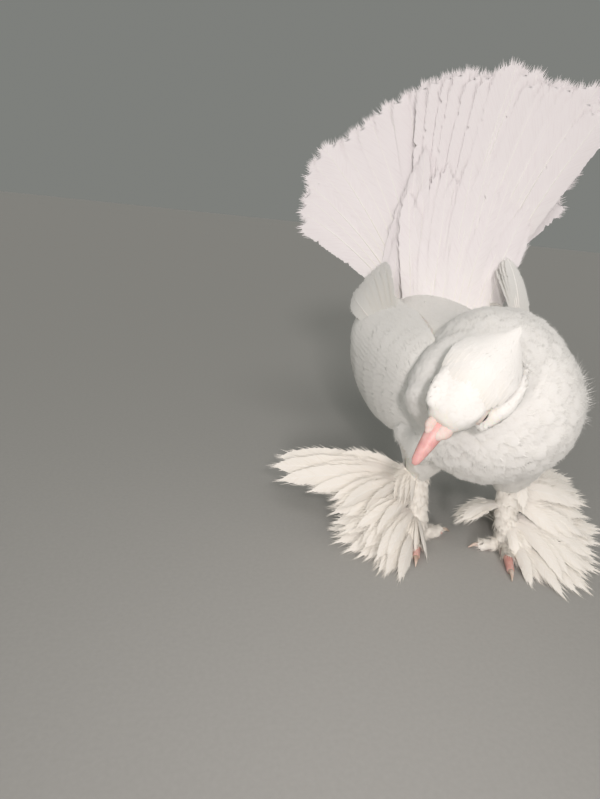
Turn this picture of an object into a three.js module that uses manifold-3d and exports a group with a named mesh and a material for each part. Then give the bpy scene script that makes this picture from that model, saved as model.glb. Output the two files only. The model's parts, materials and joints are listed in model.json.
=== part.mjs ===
// A life-size fantail pigeon that stands with its tail spread upright, its breast thrown
// out and its head bowed in front of it. Units are millimetres and +Z is up. The bird
// faces -Y, and its left side is +X. The soles rest on z = 0.
import * as THREE from "three";
import { mergeVertices } from "three/addons/utils/BufferGeometryUtils.js";
import Module from "manifold-3d";

const wasm = await Module();
wasm.setup();

// Gap between nodes that touch, and how far a piece is grown to leave that gap.
const GAP = 0.3;
// Corners that stand off a face by less than this are smoothed away.
const FINENESS = 0.03;
const CLEAR = 0.42;
// Feather vanes: thickness of the web, thinner at the tip, and the step between vanes that
// lie over one another.
const VANE_THICK = 0.7;
const VANE_TIP_THICK = 0.4;
const VANE_STEP = 1.3;
const SEED = 41;

// Torso: stations from the breast to the tail root. Each gives y, the centre's height,
// the half width, and the height above and below the centre.
const TORSO_X = -3;
const TORSO = [
  [-50, 112, 15, 14, 14],
  [-42, 112, 31, 29, 29],
  [-24, 112, 44, 43, 43],
  [0, 113, 50, 46, 47],
  [30, 114, 52, 42, 47],
  [60, 117, 51, 38, 41],
  [90, 124, 45, 33, 32],
  [112, 131, 35, 26, 25],
  [130, 137, 24, 18, 18],
];
const TORSO_END_FRONT = -54;
const TORSO_END_BACK = 138;

// The puffed breast and neck form one ball, and the neck leaves it towards the head.
const PUFF_CENTRE = [-6, -3, 114];
const PUFF_RADII = [51, 50, 51];
const NECK_PATH = [
  [-8, -4, 126],
  [-20, -18, 131],
  [-33, -34, 134],
  [-46, -49, 134],
];
const NECK_RADII = [44, 37, 25, 15];

// Head: centre between the eyes, with its own axes towards the bill tip, its left side
// and its crown.
const HEAD_CENTRE = [-54.2, -55, 130.7];
const HEAD_FORWARD = [-0.629, -0.302, -0.718];
const HEAD_UP = [-0.281, -0.771, 0.572];
// Stations along the head: distance forward, half width, height above and below.
const HEAD = [
  [-19, 10, 8, 7],
  [-16, 13.8, 10.6, 10],
  [-10, 16.4, 12.8, 12.2],
  [-2, 15.8, 13.2, 12.2],
  [6, 14, 11.8, 10.2],
  [12, 11.6, 9.2, 7.8],
  [17, 8, 5.9, 5.8],
];
// Balls of the ruff behind and below the head: centre and radii along the head's own axes.
const RUFF = [
  { centre: [-12, -4.4, -20], radii: [27, 25, 13.2] },
  { centre: [4, -6, -18], radii: [16, 20.8, 11.2] },
];
const EYE_FORWARD = 1;
const EYE_SIDE = 11;
const EYE_UP = 0.8;
const EYE_RADIUS = 4.9;
const LID_RADIUS = 4.6;
const LID_TUBE = 0.9;
const LID_OUT = 3.4;
const CREST = { count: 9, spread: 12, reach: 27, narrow: 0.56, half: 4.2, roll: 0.22 };
const CERE = { forward: 19.4, side: 3.4, up: 0.6, radii: [4.6, 3.3, 2.6] };
const NOSTRIL = { forward: 22, side: 5.8, up: 0, radii: [2.2, 1, 0.5] };
const CREST_SHAPE = [[0, 0.8], [0.4, 1], [0.8, 0.66], [1, 0.15]];
const GAPE_RADII = [5.6, 12, 0.35];
const BILL_BASE = 15.5;
const BILL_TIP = 39;
const BILL_DROOP = 4.2;
const BILL_HALF_WIDTH = 5;
const BILL_NARROW = 0.62;
const BILL_THIN = 0.7;
// How far the tip turns to the left, and the share of the length over which it is rounded.
const BILL_TURN = 1.4;
const BILL_ROUNDED = 0.1;
const BILL_UPPER_HEIGHT = 4.2;
const BILL_LOWER_HEIGHT = 2.9;
const MOUTH_UP = -2.2;

// Tail: the point the fan spreads from, the turn of its plane about the vertical, and how
// far its left side comes forward and its right side goes back at the tips.
const TAIL_ROOT = [6, 120, 136];
const TAIL_TURN = THREE.MathUtils.degToRad(-15);
const TAIL_LEAN = THREE.MathUtils.degToRad(3);
const DISH_LEFT = 14;
const DISH_RIGHT = -20;
const TAIL_REACH = 170;
// Share by which a feather's angle falls short at its root, so that it bows outwards.
const TAIL_BOW = 0.3;
// Each tier: its number of feathers, the angles and root places of its outermost feathers
// on both sides, how far forward it stands, where its feathers leave the core, their half
// width, and their reach from one side to the other.
const REAR_FAN = {
  count: 16,
  angles: [-59, 36],
  roots: [-17, 10],
  front: 0,
  start: 12,
  half: 13,
  reach: [112, 124, 138, 142, 146, 156, 166, 172, 176, 176, 158, 118],
};
const FRONT_FAN = {
  count: 11,
  angles: [-5.5, 22],
  roots: [-18, 30],
  front: 13,
  start: 24,
  half: 12,
  reach: [163, 166, 170, 171, 177, 172, 175, 174, 172, 160],
};
// Feathers at the left edge of the front fan that turn back: place at the root and at the
// tip, reach and distance forward.
const SIDE_WALL = [
  { root: -25, top: -30, reach: 112, front: 12.5 },
  { root: -31, top: -35, reach: 90, front: 10 },
];
const WALL_HALF = 6;
const WALL_ROLL = -0.35;
const CORE_THICK = 3.8;
const CORE_LENGTH = 24;
// Tail coverts: short feathers of the rump in front of the fan and behind it.
const COVERTS = [
  {
    count: 8,
    angles: [-10, 18],
    roots: [-17, 34],
    front: 22,
    start: 5,
    half: 9,
    reach: [66, 88, 98, 88, 60],
  },
  {
    count: 6,
    angles: [-34, 34],
    roots: [-10, 10],
    front: -7,
    start: -2,
    half: 7.5,
    reach: [60, 78, 84, 78, 60],
  },
];

// Legs: the thigh's start inside the belly, the hock and the foot's centre, and each toe's
// reach from that centre to the base of its claw.
const LEGS = {
  right: {
    thigh: [-27, 16, 88],
    hock: [-26, 31, 47],
    foot: [-21, 24, 5.5],
    toes: { middle: [-10, -24], outer: [-22, -13], inner: [21, 6], hind: [-6, 15] },
  },
  left: {
    thigh: [24, 6, 88],
    hock: [36, 20, 47],
    foot: [38, 9, 5.5],
    toes: { middle: [-11, -27], outer: [12, -24], inner: [-17, 2], hind: [6, 16] },
  },
};
const THIGH_RADII = [28, 20, 11.5, 8];
const SHANK_RADII = [6.4, 5, 4.6, 4.4];
const TOE_RADIUS = 2.7;
const CLAW_LENGTH = 8;
// Foot feathers of each leg in tiers. Each tier gives the count, the height on the shank
// that it grows from, its first and last heading in degrees from the bird's left, and the
// reach, tip height and half width at both ends.
const MUFFS = {
  right: [
    { count: 7, from: 0.1, heading: [236, 172], reach: [52, 66], tip: [0.5, 4], half: [6.5, 9] },
    { count: 5, from: 0.45, heading: [216, 160], reach: [46, 64], tip: [11, 20], half: [7, 9] },
    { count: 3, from: 0.85, heading: [190, 162], reach: [50, 96], tip: [27, 35], half: [9, 11], lean: 1.3 },
    { count: 2, from: 0.2, heading: [136, 108], reach: [44, 34], tip: [0.5, 0.5], half: [8, 7] },
  ],
  left: [
    { count: 7, from: 0.1, heading: [272, 350], reach: [50, 62], tip: [0.5, 3], half: [6.5, 9] },
    { count: 5, from: 0.45, heading: [318, 370], reach: [50, 66], tip: [12, 34], half: [7, 9] },
    { count: 3, from: 0.85, heading: [350, 384], reach: [54, 66], tip: [38, 43], half: [8, 9] },
    { count: 3, from: 0.2, heading: [404, 462], reach: [42, 54], tip: [0.5, 0.5], half: [8, 7] },
    { count: 2, from: 0.6, heading: [154, 176], reach: [32, 28], tip: [13, 20], half: [7, 7], lean: 1 },
  ],
};
const MUFF_STEP = 1.6;
const MUFF_LEAN = 0.35;
const SOLE_LIFT = 0.35;
const SOLE_PAD = [5.5, 6, 4];

// Wings: stations of the guide surface that the folded wings follow. Each gives y, the
// centre's height, the half width and the height above and below the centre.
const WING_GUIDE = [
  [-24, 118, 44, 30],
  [0, 119, 56, 37],
  [30, 119, 61, 40],
  [60, 120, 63, 41],
  [90, 124, 62, 38],
  [120, 124, 52, 30],
  [150, 121, 38, 22],
  [180, 116, 27, 15],
  [204, 111, 18, 10],
];
const WING_SQUARE = 2.5;
const WING_BELOW = 1.4;
// Lower and upper edge of the wing on the guide, in degrees from level.
const WING_EDGES = [
  [-22, 0, 14],
  [-8, -22, 38],
  [25, -40, 56],
  [60, -38, 60],
  [95, -30, 46],
  [120, -30, 12],
];
const WING_THICK = 6;
const WING_SHELL_END = 108;
const WING_SHELL_SINK = 3.6;
// Rows of wing feathers from the shoulder back: the count, where the roots and the lowest
// and highest tips lie along the body, the angles of the lowest and highest feather at the
// root and at the tip, the half width, and the lift at the root and at the tip.
const WING_ROWS = [
  { count: 5, root: 0, tips: [44, 46], low: [-22, -32], high: [42, 48], half: 10.5, lift: [-4.6, 0.4] },
  { count: 5, root: 26, tips: [76, 76], low: [-30, -34], high: [50, 52], half: 11.5, lift: [-4.6, 0.6] },
  { count: 6, root: 54, tips: [124, 108], low: [-30, -28], high: [50, 38], half: 11.5, lift: [-4.8, 0.8] },
  { count: 6, root: 84, tips: [204, 138], low: [-24, -20], high: [22, -2], half: 8.5, lift: [-5, -1] },
];
const WING_STEP = 1.3;
// The innermost wing feathers: where they root on the guide and where their tips stand.
const TERTIALS = {
  left: { root: [58, 46], tips: [[40, 99, 184], [48, 98, 188], [58, 92, 173]], facing: [0.3, -0.9, 0.3] },
  right: {
    root: [58, 42],
    tips: [[-46, 110, 173], [-53, 112, 165], [-60, 113, 154]],
    facing: [-1, -0.3, 0.2],
  },
};
const TERTIAL_HALF = 9.5;

const COLOURS = {
  plumage: 0xf3f1ea,
  tail: 0xf1ebe8,
  muff: 0xf2ecdc,
  bill: 0xe0a49c,
  toe: 0xe0948c,
  claw: 0xcbb5a8,
  eye: 0x2a1712,
};

const vec = (a) => new THREE.Vector3(...a);

// Seeded random numbers between -1 and 1.
let state = SEED;
function vary() {
  state = (state * 16807) % 2147483647;
  return (state / 2147483647) * 2 - 1;
}

// Three.js geometry to a solid, turned outwards where its faces point in.
function toSolid(geometry) {
  const bare = geometry.clone();
  for (const name of Object.keys(bare.attributes)) {
    if (name !== "position") bare.deleteAttribute(name);
  }
  const merged = mergeVertices(bare, 1e-3);
  const triVerts = new Uint32Array(merged.index.array);
  const vertProperties = new Float32Array(merged.attributes.position.array);
  const made = new wasm.Manifold(new wasm.Mesh({ numProp: 3, vertProperties, triVerts }));
  if (made.volume() > 0) return made;
  for (let i = 0; i < triVerts.length; i += 3) {
    [triVerts[i + 1], triVerts[i + 2]] = [triVerts[i + 2], triVerts[i + 1]];
  }
  return new wasm.Manifold(new wasm.Mesh({ numProp: 3, vertProperties, triVerts }));
}

// The largest closed surface of a solid: loose scraps and sealed hollows go.
function largest(solid) {
  return solid
    .decompose()
    .reduce((best, body) => (body.volume() > best.volume() ? body : best));
}

const joined = (solids) => solids.reduce((sum, solid) => sum.add(solid));

// A solid swollen by moved copies of itself, to cut a clearance with.
function swollen(solid) {
  const moves = [0, 1, 2].flatMap((axis) => [1, -1].map((way) => {
    const move = [0, 0, 0];
    move[axis] = way * CLEAR;
    return solid.translate(move);
  }));
  return joined(moves);
}

function toMesh(name, solid, colour, roughness) {
  const mesh = largest(solid.asOriginal().simplify(FINENESS)).getMesh();
  const positions = new Float32Array(mesh.numVert * 3);
  for (let i = 0; i < mesh.numVert; i += 1) {
    positions.set(mesh.vertProperties.subarray(i * mesh.numProp, i * mesh.numProp + 3), i * 3);
  }
  const geometry = new THREE.BufferGeometry();
  geometry.setAttribute("position", new THREE.BufferAttribute(positions, 3));
  geometry.setIndex(new THREE.BufferAttribute(new Uint32Array(mesh.triVerts), 1));
  geometry.computeVertexNormals();
  const material = new THREE.MeshStandardMaterial({ color: colour, roughness, metalness: 0 });
  const made = new THREE.Mesh(geometry, material);
  made.name = name;
  return made;
}

// A closed loft through rings of points, each end drawn to a point.
function loft(rings, start, end) {
  const sides = rings[0].length;
  const positions = [];
  for (const ring of rings) {
    for (const p of ring) positions.push(p.x, p.y, p.z);
  }
  const first = positions.length / 3;
  positions.push(start.x, start.y, start.z, end.x, end.y, end.z);
  const index = [];
  for (let j = 0; j < sides; j += 1) {
    const next = (j + 1) % sides;
    for (let i = 0; i + 1 < rings.length; i += 1) {
      const a = i * sides + j;
      const b = i * sides + next;
      index.push(a, b, b + sides, a, b + sides, a + sides);
    }
    const last = (rings.length - 1) * sides;
    index.push(first, next, j, first + 1, last + j, last + next);
  }
  const geometry = new THREE.BufferGeometry();
  geometry.setAttribute("position", new THREE.Float32BufferAttribute(positions, 3));
  geometry.setIndex(index);
  return toSolid(geometry);
}

// Smooth value of one column of a table of stations at a place along its first column.
function stationAt(table, place, column) {
  const last = table.length - 1;
  const at = THREE.MathUtils.clamp(place, table[0][0], table[last][0]);
  let i = 0;
  while (i < last - 1 && table[i + 1][0] < at) i += 1;
  const slope = (k) => {
    const a = Math.max(k - 1, 0);
    const b = Math.min(k + 1, last);
    return (table[b][column] - table[a][column]) / (table[b][0] - table[a][0]);
  };
  const span = table[i + 1][0] - table[i][0];
  const t = (at - table[i][0]) / span;
  const value = [table[i][column], table[i + 1][column]];
  const pull = [slope(i) * span, slope(i + 1) * span];
  const a = 2 * value[0] - 2 * value[1] + pull[0] + pull[1];
  const b = -3 * value[0] + 3 * value[1] - 2 * pull[0] - pull[1];
  return ((a * t + b) * t + pull[0]) * t + value[0];
}

// Ring of an oval with unequal height above and below its centre.
function oval(centre, side, up, halfWidth, above, below, sides) {
  const ring = [];
  for (let j = 0; j < sides; j += 1) {
    const angle = (j / sides) * Math.PI * 2;
    const high = Math.sin(angle) > 0 ? above : below;
    ring.push(
      centre
        .clone()
        .addScaledVector(side, Math.cos(angle) * halfWidth)
        .addScaledVector(up, Math.sin(angle) * high),
    );
  }
  return ring;
}

// A round-sectioned limb through points with a radius at each, closed at both ends.
function limb(points, radii, sides, steps, flat = 1, hint = [0, 0, 1]) {
  const curve = new THREE.CatmullRomCurve3(points.map(vec));
  const table = radii.map((r, i) => [i / (radii.length - 1), r]);
  const rings = [];
  for (let i = 0; i <= steps; i += 1) {
    const t = i / steps;
    const along = curve.getTangent(t);
    const side = new THREE.Vector3().crossVectors(along, vec(hint)).normalize();
    const up = new THREE.Vector3().crossVectors(side, along).normalize();
    const r = stationAt(table, t, 1);
    rings.push(oval(curve.getPoint(t), side, up, r, r * flat, r * flat, sides));
  }
  return loft(rings, curve.getPoint(0), curve.getPoint(1));
}

// A feather vane: a thin strip through stations along its shaft. Each station has a point,
// a direction across, a direction out of the face, a half width and a thickness. Both faces
// are split into triangles along the same diagonals.
function vane(stations) {
  const positions = [];
  for (const { at, across, out, half, thick } of stations) {
    for (const face of [0.5, -0.5]) {
      for (const edge of [-1, 1]) {
        const p = at.clone().addScaledVector(across, edge * half).addScaledVector(out, face * thick);
        positions.push(p.x, p.y, p.z);
      }
    }
  }
  const index = [0, 1, 3, 0, 3, 2];
  for (let i = 0; i + 1 < stations.length; i += 1) {
    const a = i * 4;
    const b = a + 4;
    index.push(a, b, b + 1, a, b + 1, a + 1);
    index.push(a + 2, b + 3, b + 2, a + 2, a + 3, b + 3);
    index.push(a, a + 2, b + 2, a, b + 2, b);
    index.push(a + 1, b + 3, a + 3, a + 1, b + 1, b + 3);
  }
  const z = (stations.length - 1) * 4;
  index.push(z, z + 3, z + 1, z, z + 2, z + 3);
  const geometry = new THREE.BufferGeometry();
  geometry.setAttribute("position", new THREE.Float32BufferAttribute(positions, 3));
  geometry.setIndex(index);
  return toSolid(geometry);
}

// Stations of a vane along a path. The path gives a point for a share of the length, facing
// gives the direction out of the face there, and roll turns the vane about its shaft.
const VANE_SHAPE = [[0, 0.5], [0.45, 1], [0.84, 0.86], [1, 0.28]];
const TAIL_SHAPE = [[0, 0.32], [0.4, 0.7], [0.75, 1], [0.94, 0.9], [1, 0.4]];
function vaneAlong(path, facing, half, roll = () => 0, shape = VANE_SHAPE) {
  const step = 0.01;
  return vane(
    shape.map(([t, wide]) => {
      const at = path(t);
      const along = path(Math.min(t + step, 1)).sub(path(Math.min(t, 1 - step))).normalize();
      const across = new THREE.Vector3().crossVectors(along, facing(t)).normalize();
      across.applyAxisAngle(along, roll(t));
      const out = new THREE.Vector3().crossVectors(across, along).normalize();
      const thick = THREE.MathUtils.lerp(VANE_THICK, VANE_TIP_THICK, t);
      return { at, across, out, half: half * wide, thick };
    }),
  );
}

function ball(centre, radii, rows = 11) {
  const geometry = new THREE.SphereGeometry(1, rows * 2, rows);
  geometry.scale(...radii);
  geometry.translate(...centre);
  return toSolid(geometry);
}

// Everything on the side of a plane that its normal points to.
function halfSpace(point, normal) {
  const size = 800;
  const geometry = new THREE.BoxGeometry(size, size, size);
  geometry.translate(0, 0, size / 2);
  geometry.applyQuaternion(
    new THREE.Quaternion().setFromUnitVectors(new THREE.Vector3(0, 0, 1), vec(normal).normalize()),
  );
  geometry.translate(...point);
  return toSolid(geometry);
}

// The same half space, moved along its normal by the gap between nodes.
function beyond(point, normal, gap) {
  const moved = vec(point).addScaledVector(vec(normal).normalize(), gap);
  return halfSpace(moved.toArray(), normal);
}

// The head's own axes, and a point given by distances along them.
const headForward = vec(HEAD_FORWARD).normalize();
const headLeft = new THREE.Vector3().crossVectors(vec(HEAD_UP), headForward).normalize();
const headUp = new THREE.Vector3().crossVectors(headForward, headLeft).normalize();
const headPoint = (forward, left, up) =>
  vec(HEAD_CENTRE)
    .addScaledVector(headForward, forward)
    .addScaledVector(headLeft, left)
    .addScaledVector(headUp, up);

// Torso loft, with grow added all round.
function torsoLoft(grow) {
  const rings = [];
  const steps = 15;
  const from = TORSO[0][0];
  const to = TORSO[TORSO.length - 1][0];
  for (let i = 0; i <= steps; i += 1) {
    const y = from + ((to - from) * i) / steps;
    const [z, half, above, below] = [1, 2, 3, 4].map((column) => stationAt(TORSO, y, column));
    const centre = new THREE.Vector3(TORSO_X, y, z);
    rings.push(
      oval(
        centre,
        new THREE.Vector3(1, 0, 0),
        new THREE.Vector3(0, 0, 1),
        half + grow,
        above + grow,
        below + grow,
        22,
      ),
    );
  }
  const front = new THREE.Vector3(TORSO_X, TORSO_END_FRONT - grow, TORSO[0][1]);
  const back = new THREE.Vector3(TORSO_X, TORSO_END_BACK + grow, TORSO[TORSO.length - 1][1]);
  return loft(rings, front, back);
}

function headLoft() {
  const rings = [];
  const steps = 10;
  const from = HEAD[0][0];
  const to = HEAD[HEAD.length - 1][0];
  for (let i = 0; i <= steps; i += 1) {
    const f = from + ((to - from) * i) / steps;
    const [half, above, below] = [1, 2, 3].map((column) => stationAt(HEAD, f, column));
    rings.push(oval(headPoint(f, 0, 0), headLeft, headUp, half, above, below, 18));
  }
  return loft(rings, headPoint(from - 3, 0, 0), headPoint(to + 1.5, 0, -0.5));
}

// A ball with its radii along the head's own axes.
function headBall(forward, left, up, radii, rows) {
  const geometry = new THREE.SphereGeometry(1, rows * 2, rows);
  geometry.scale(...radii);
  geometry.applyMatrix4(new THREE.Matrix4().makeBasis(headForward, headLeft, headUp));
  geometry.translate(...headPoint(forward, left, up).toArray());
  return toSolid(geometry);
}

// Torso, puffed breast, neck and ruff in one solid, with grow added all round.
function bodySolid(grow) {
  return joined([
    torsoLoft(grow),
    ball(PUFF_CENTRE, PUFF_RADII.map((r) => r + grow)),
    limb(NECK_PATH, NECK_RADII.map((r) => r + grow), 18, 6),
    ...RUFF.map(({ centre, radii }) => headBall(...centre, radii.map((r) => r + grow), 9)),
  ]);
}

// Planes that part head from neck, neck from torso, and torso from rump.
const toHead = vec(HEAD_CENTRE).sub(vec(PUFF_CENTRE)).normalize();
const NAPE_PLANE = [vec(PUFF_CENTRE).addScaledVector(toHead, 56.5).toArray(), toHead.toArray()];
const NECK_FLOOR = [[-6, -3, 128], [-0.3, -0.28, 0.91]];
const NECK_BACK = [[0, 24, 0], [0, -1, 0.1]];
const RUMP_PLANE = [[0, 106, 130], [0, 0.97, 0.24]];

const bird = new THREE.Group();

const body = bodySolid(0);
const grownBody = bodySolid(CLEAR);
const headFlesh = headLoft();
const beyondNape = beyond(...NAPE_PLANE, GAP);
const atNape = halfSpace(...NAPE_PLANE);
const atNeck = halfSpace(...NECK_FLOOR).intersect(halfSpace(...NECK_BACK));
const insideNeck = beyond(...NECK_FLOOR, GAP).intersect(beyond(...NECK_BACK, GAP));
const atRump = halfSpace(...RUMP_PLANE);

// The peak crest: vanes from the back of the crown that draw together to a point.
function crestVanes() {
  const vanes = [];
  for (let i = 0; i < CREST.count; i += 1) {
    const share = (2 * i) / (CREST.count - 1) - 1;
    const side = share * CREST.spread;
    const reach = CREST.reach * (1 - 0.35 * share * share) * (1 + 0.05 * vary());
    const path = (t) =>
      headPoint(
        -9 - 3 * (1 - Math.abs(share)) - reach * t,
        side * (1 - (1 - CREST.narrow) * t),
        10.6 - 4.5 * share * share - 4.6 * t + 3.4 * t * t,
      );
    const facing = () => headUp.clone().addScaledVector(headLeft, share * 0.8).normalize();
    vanes.push(vaneAlong(path, facing, CREST.half, () => CREST.roll, CREST_SHAPE));
  }
  return joined(vanes);
}

const whole = body.add(headFlesh.intersect(atNape));
const grownNeck = grownBody.subtract(beyondNape);
let headSolid = whole.intersect(beyondNape).add(crestVanes().subtract(grownNeck));
const neckSolid = largest(body.subtract(atNape).intersect(insideNeck));
const torsoSolid = largest(body.subtract(atNape).subtract(atNeck).subtract(atRump));
const rumpSolid = largest(body.subtract(atNeck).intersect(beyond(...RUMP_PLANE, GAP)));

// Eyes, each in a socket with a raised lid round it.
function ring(centre, axis, radius, tube) {
  const geometry = new THREE.TorusGeometry(radius, tube, 5, 14);
  geometry.applyQuaternion(
    new THREE.Quaternion().setFromUnitVectors(new THREE.Vector3(0, 0, 1), axis),
  );
  geometry.translate(centre.x, centre.y, centre.z);
  return toSolid(geometry);
}

for (const side of [1, -1]) {
  const outward = headLeft.clone().multiplyScalar(side);
  const centre = headPoint(EYE_FORWARD, side * EYE_SIDE, EYE_UP);
  const lidCentre = centre.clone().addScaledVector(outward, LID_OUT);
  const lid = ring(lidCentre, outward, LID_RADIUS, LID_TUBE);
  const socket = ball(centre.toArray(), [1, 1, 1].map(() => EYE_RADIUS + GAP), 8);
  headSolid = headSolid.add(lid).subtract(socket);
  const name = side > 0 ? "eye_left" : "eye_right";
  const eye = ball(centre.toArray(), [1, 1, 1].map(() => EYE_RADIUS), 8);
  bird.add(toMesh(name, eye, COLOURS.eye, 0.15));
}

// Bill halves: lofts that narrow and droop towards the tip, parted along the mouth.
function mouthLine(f) {
  const t = (f - BILL_BASE) / (BILL_TIP - BILL_BASE);
  return MOUTH_UP - BILL_DROOP * 0.6 * t * t * t;
}

function billHalf(upper) {
  const rings = [];
  const steps = 7;
  const reach = upper ? BILL_TIP : BILL_TIP - 1.8;
  const sign = upper ? 1 : -1;
  for (let i = 0; i <= steps; i += 1) {
    const t = i / steps;
    const f = BILL_BASE + (reach - BILL_BASE) * t;
    const blunt = Math.sqrt(Math.min((1.02 - t) / BILL_ROUNDED, 1));
    const half = BILL_HALF_WIDTH * (1 - BILL_NARROW * t ** 1.5) * blunt;
    const tall = upper ? BILL_UPPER_HEIGHT : BILL_LOWER_HEIGHT;
    const high = tall * (1 - BILL_THIN * t ** 1.5) * blunt;
    const centre = headPoint(f, BILL_TURN * t, mouthLine(f) + (sign * GAP) / 2);
    rings.push(oval(centre, headLeft, headUp, half, upper ? high : 0, upper ? 0 : high, 14));
  }
  const [start, end] = [BILL_BASE - 0.5, reach + 0.8];
  const point = (f, turn) => headPoint(f, turn, mouthLine(f) + sign * (GAP / 2 + 0.3));
  return loft(rings, point(start, 0), point(end, BILL_TURN));
}
const BILL_PLANE = [headPoint(17.6, 0, 0).toArray(), headForward.toArray()];
headSolid = headSolid.subtract(halfSpace(...BILL_PLANE));
headSolid = headSolid.subtract(headBall(BILL_BASE, 0, MOUTH_UP, GAPE_RADII, 8));
const billSpace = beyond(...BILL_PLANE, GAP);
let upperBill = billHalf(true);
for (const side of [1, -1]) {
  upperBill = upperBill
    .add(headBall(CERE.forward, side * CERE.side, CERE.up, CERE.radii, 7))
    .subtract(headBall(NOSTRIL.forward, side * NOSTRIL.side, NOSTRIL.up, NOSTRIL.radii, 4));
}
const mouthRoof = beyond(headPoint(0, 0, MOUTH_UP).toArray(), headUp.toArray(), GAP / 2);
const cereEnd = halfSpace(headPoint(26, 0, 0).toArray(), headForward.toArray());
upperBill = upperBill.intersect(billSpace).intersect(mouthRoof.add(cereEnd));
const lowerBill = billHalf(false).intersect(billSpace);
bird.add(toMesh("bill_upper", upperBill, COLOURS.bill, 0.5));
bird.add(toMesh("bill_lower", lowerBill, COLOURS.bill, 0.5));

bird.add(toMesh("head", headSolid, COLOURS.plumage, 0.9));
bird.add(toMesh("neck", neckSolid, COLOURS.plumage, 0.9));
bird.add(toMesh("torso", torsoSolid, COLOURS.plumage, 0.9));

// A point on the guide surface of the wing on one side, lifted off it.
function wingPoint(side, y, degrees, lift = 0) {
  const [z, half, high] = [1, 2, 3].map((column) => stationAt(WING_GUIDE, y, column));
  const angle = THREE.MathUtils.degToRad(degrees);
  const power = 2 / WING_SQUARE;
  const across = Math.abs(Math.cos(angle)) ** power * (half + lift);
  const tall = angle > 0 ? high : -high * WING_BELOW;
  const up = Math.abs(Math.sin(angle)) ** power * (tall + Math.sign(angle) * lift);
  return new THREE.Vector3(TORSO_X + side * across, y, z + up);
}

// The core of a folded wing: a shell on the guide that the feathers grow from.
function wingShell(side) {
  const rings = [];
  const [from, to] = [WING_EDGES[0][0], WING_SHELL_END];
  const [steps, across] = [7, 4];
  const edgesAt = (y) => [1, 2].map((column) => stationAt(WING_EDGES, y, column));
  for (let i = 0; i <= steps; i += 1) {
    const y = from + ((to - from) * i) / steps;
    const [low, high] = edgesAt(y);
    const depth = WING_SHELL_SINK + WING_THICK * (i < steps - 1 ? 3 : 1);
    const angles = Array.from({ length: across + 1 }, (_, j) => low + ((high - low) * j) / across);
    const outer = angles.map((angle) => wingPoint(side, y, angle, -WING_SHELL_SINK));
    const inner = angles.toReversed().map((angle) => wingPoint(side, y, angle, -depth));
    rings.push([...outer, ...inner]);
  }
  const middle = (y) => {
    const [low, high] = edgesAt(y);
    return wingPoint(side, y, (low + high) / 2, -WING_SHELL_SINK - WING_THICK / 2);
  };
  return loft(rings, middle(from), middle(to));
}

// One row of wing feathers, laid over one another like blinds.
function wingRow(side, row, stagger) {
  const { lerp } = THREE.MathUtils;
  const vanes = [];
  for (let i = 0; i < row.count; i += 1) {
    const share = (i + stagger) / row.count;
    const end = lerp(row.tips[0], row.tips[1], share) + 1.5 * vary();
    const from = lerp(row.low[0], row.high[0], share);
    const to = lerp(row.low[1], row.high[1], share);
    const path = (t) =>
      wingPoint(side, lerp(row.root, end, t), lerp(from, to, t), lerp(row.lift[0], row.lift[1], t));
    const facing = (t) => {
      const y = lerp(row.root, end, t);
      return wingPoint(side, y, lerp(from, to, t), 2).sub(wingPoint(side, y, lerp(from, to, t), 0));
    };
    const spacing = (t) => {
      const y = lerp(row.root, end, t);
      const next = 1 / row.count;
      const a = lerp(row.low[0], row.high[0], share + next);
      const b = lerp(row.low[1], row.high[1], share + next);
      return wingPoint(side, y, lerp(from, to, t)).distanceTo(wingPoint(side, y, lerp(a, b, t)));
    };
    const roll = (t) => -side * Math.atan(WING_STEP / spacing(t));
    vanes.push(vaneAlong(path, facing, row.half, roll));
  }
  return vanes;
}

// The innermost feathers, which stand off the wing's upper edge.
function tertials(side, { root, tips, facing }) {
  return tips.map((tip, i) => {
    const start = wingPoint(side, root[0] + 4 * i, root[1] - 7 * i, -WING_SHELL_SINK - 2);
    const bend = start.clone().lerp(vec(tip), 0.5).add(new THREE.Vector3(side * (3 + 2 * i), 0, 4));
    const curve = new THREE.QuadraticBezierCurve3(start, bend, vec(tip));
    return vaneAlong((t) => curve.getPoint(t), () => vec(facing).normalize(), TERTIAL_HALF);
  });
}

// The tail's own axes: across its plane, forward out of it, and up along it.
const tailAcross = new THREE.Vector3(Math.cos(TAIL_TURN), Math.sin(TAIL_TURN), 0);
const tailFront = new THREE.Vector3(Math.sin(TAIL_TURN), -Math.cos(TAIL_TURN), 0);
const tailUp = new THREE.Vector3(0, 0, Math.cos(TAIL_LEAN)).addScaledVector(
  tailFront,
  -Math.sin(TAIL_LEAN),
);
function tailPoint(root, degrees, reach, front = 0) {
  const share = reach / TAIL_REACH;
  const angle = THREE.MathUtils.degToRad(degrees) * (1 - TAIL_BOW * (1 - share));
  const dish = (degrees > 0 ? DISH_LEFT : DISH_RIGHT) * share ** 2 * Math.abs(Math.sin(angle));
  return vec(TAIL_ROOT)
    .addScaledVector(tailAcross, root + Math.sin(angle) * reach)
    .addScaledVector(tailUp, Math.cos(angle) * reach)
    .addScaledVector(tailFront, dish + front);
}

// Angle, root place and reach at a share of the way across one tier.
function tierAt(tier, share) {
  const mix = (pair) => THREE.MathUtils.lerp(pair[0], pair[1], share);
  const table = tier.reach.map((reach, i) => [i / (tier.reach.length - 1), reach]);
  return { degrees: mix(tier.angles), root: mix(tier.roots), reach: stationAt(table, share, 1) };
}

// How far forward a tier stands at a radius.
const tierFront = (tier, r, reach) => tier.front * (0.5 + (0.5 * r) / reach);

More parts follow.
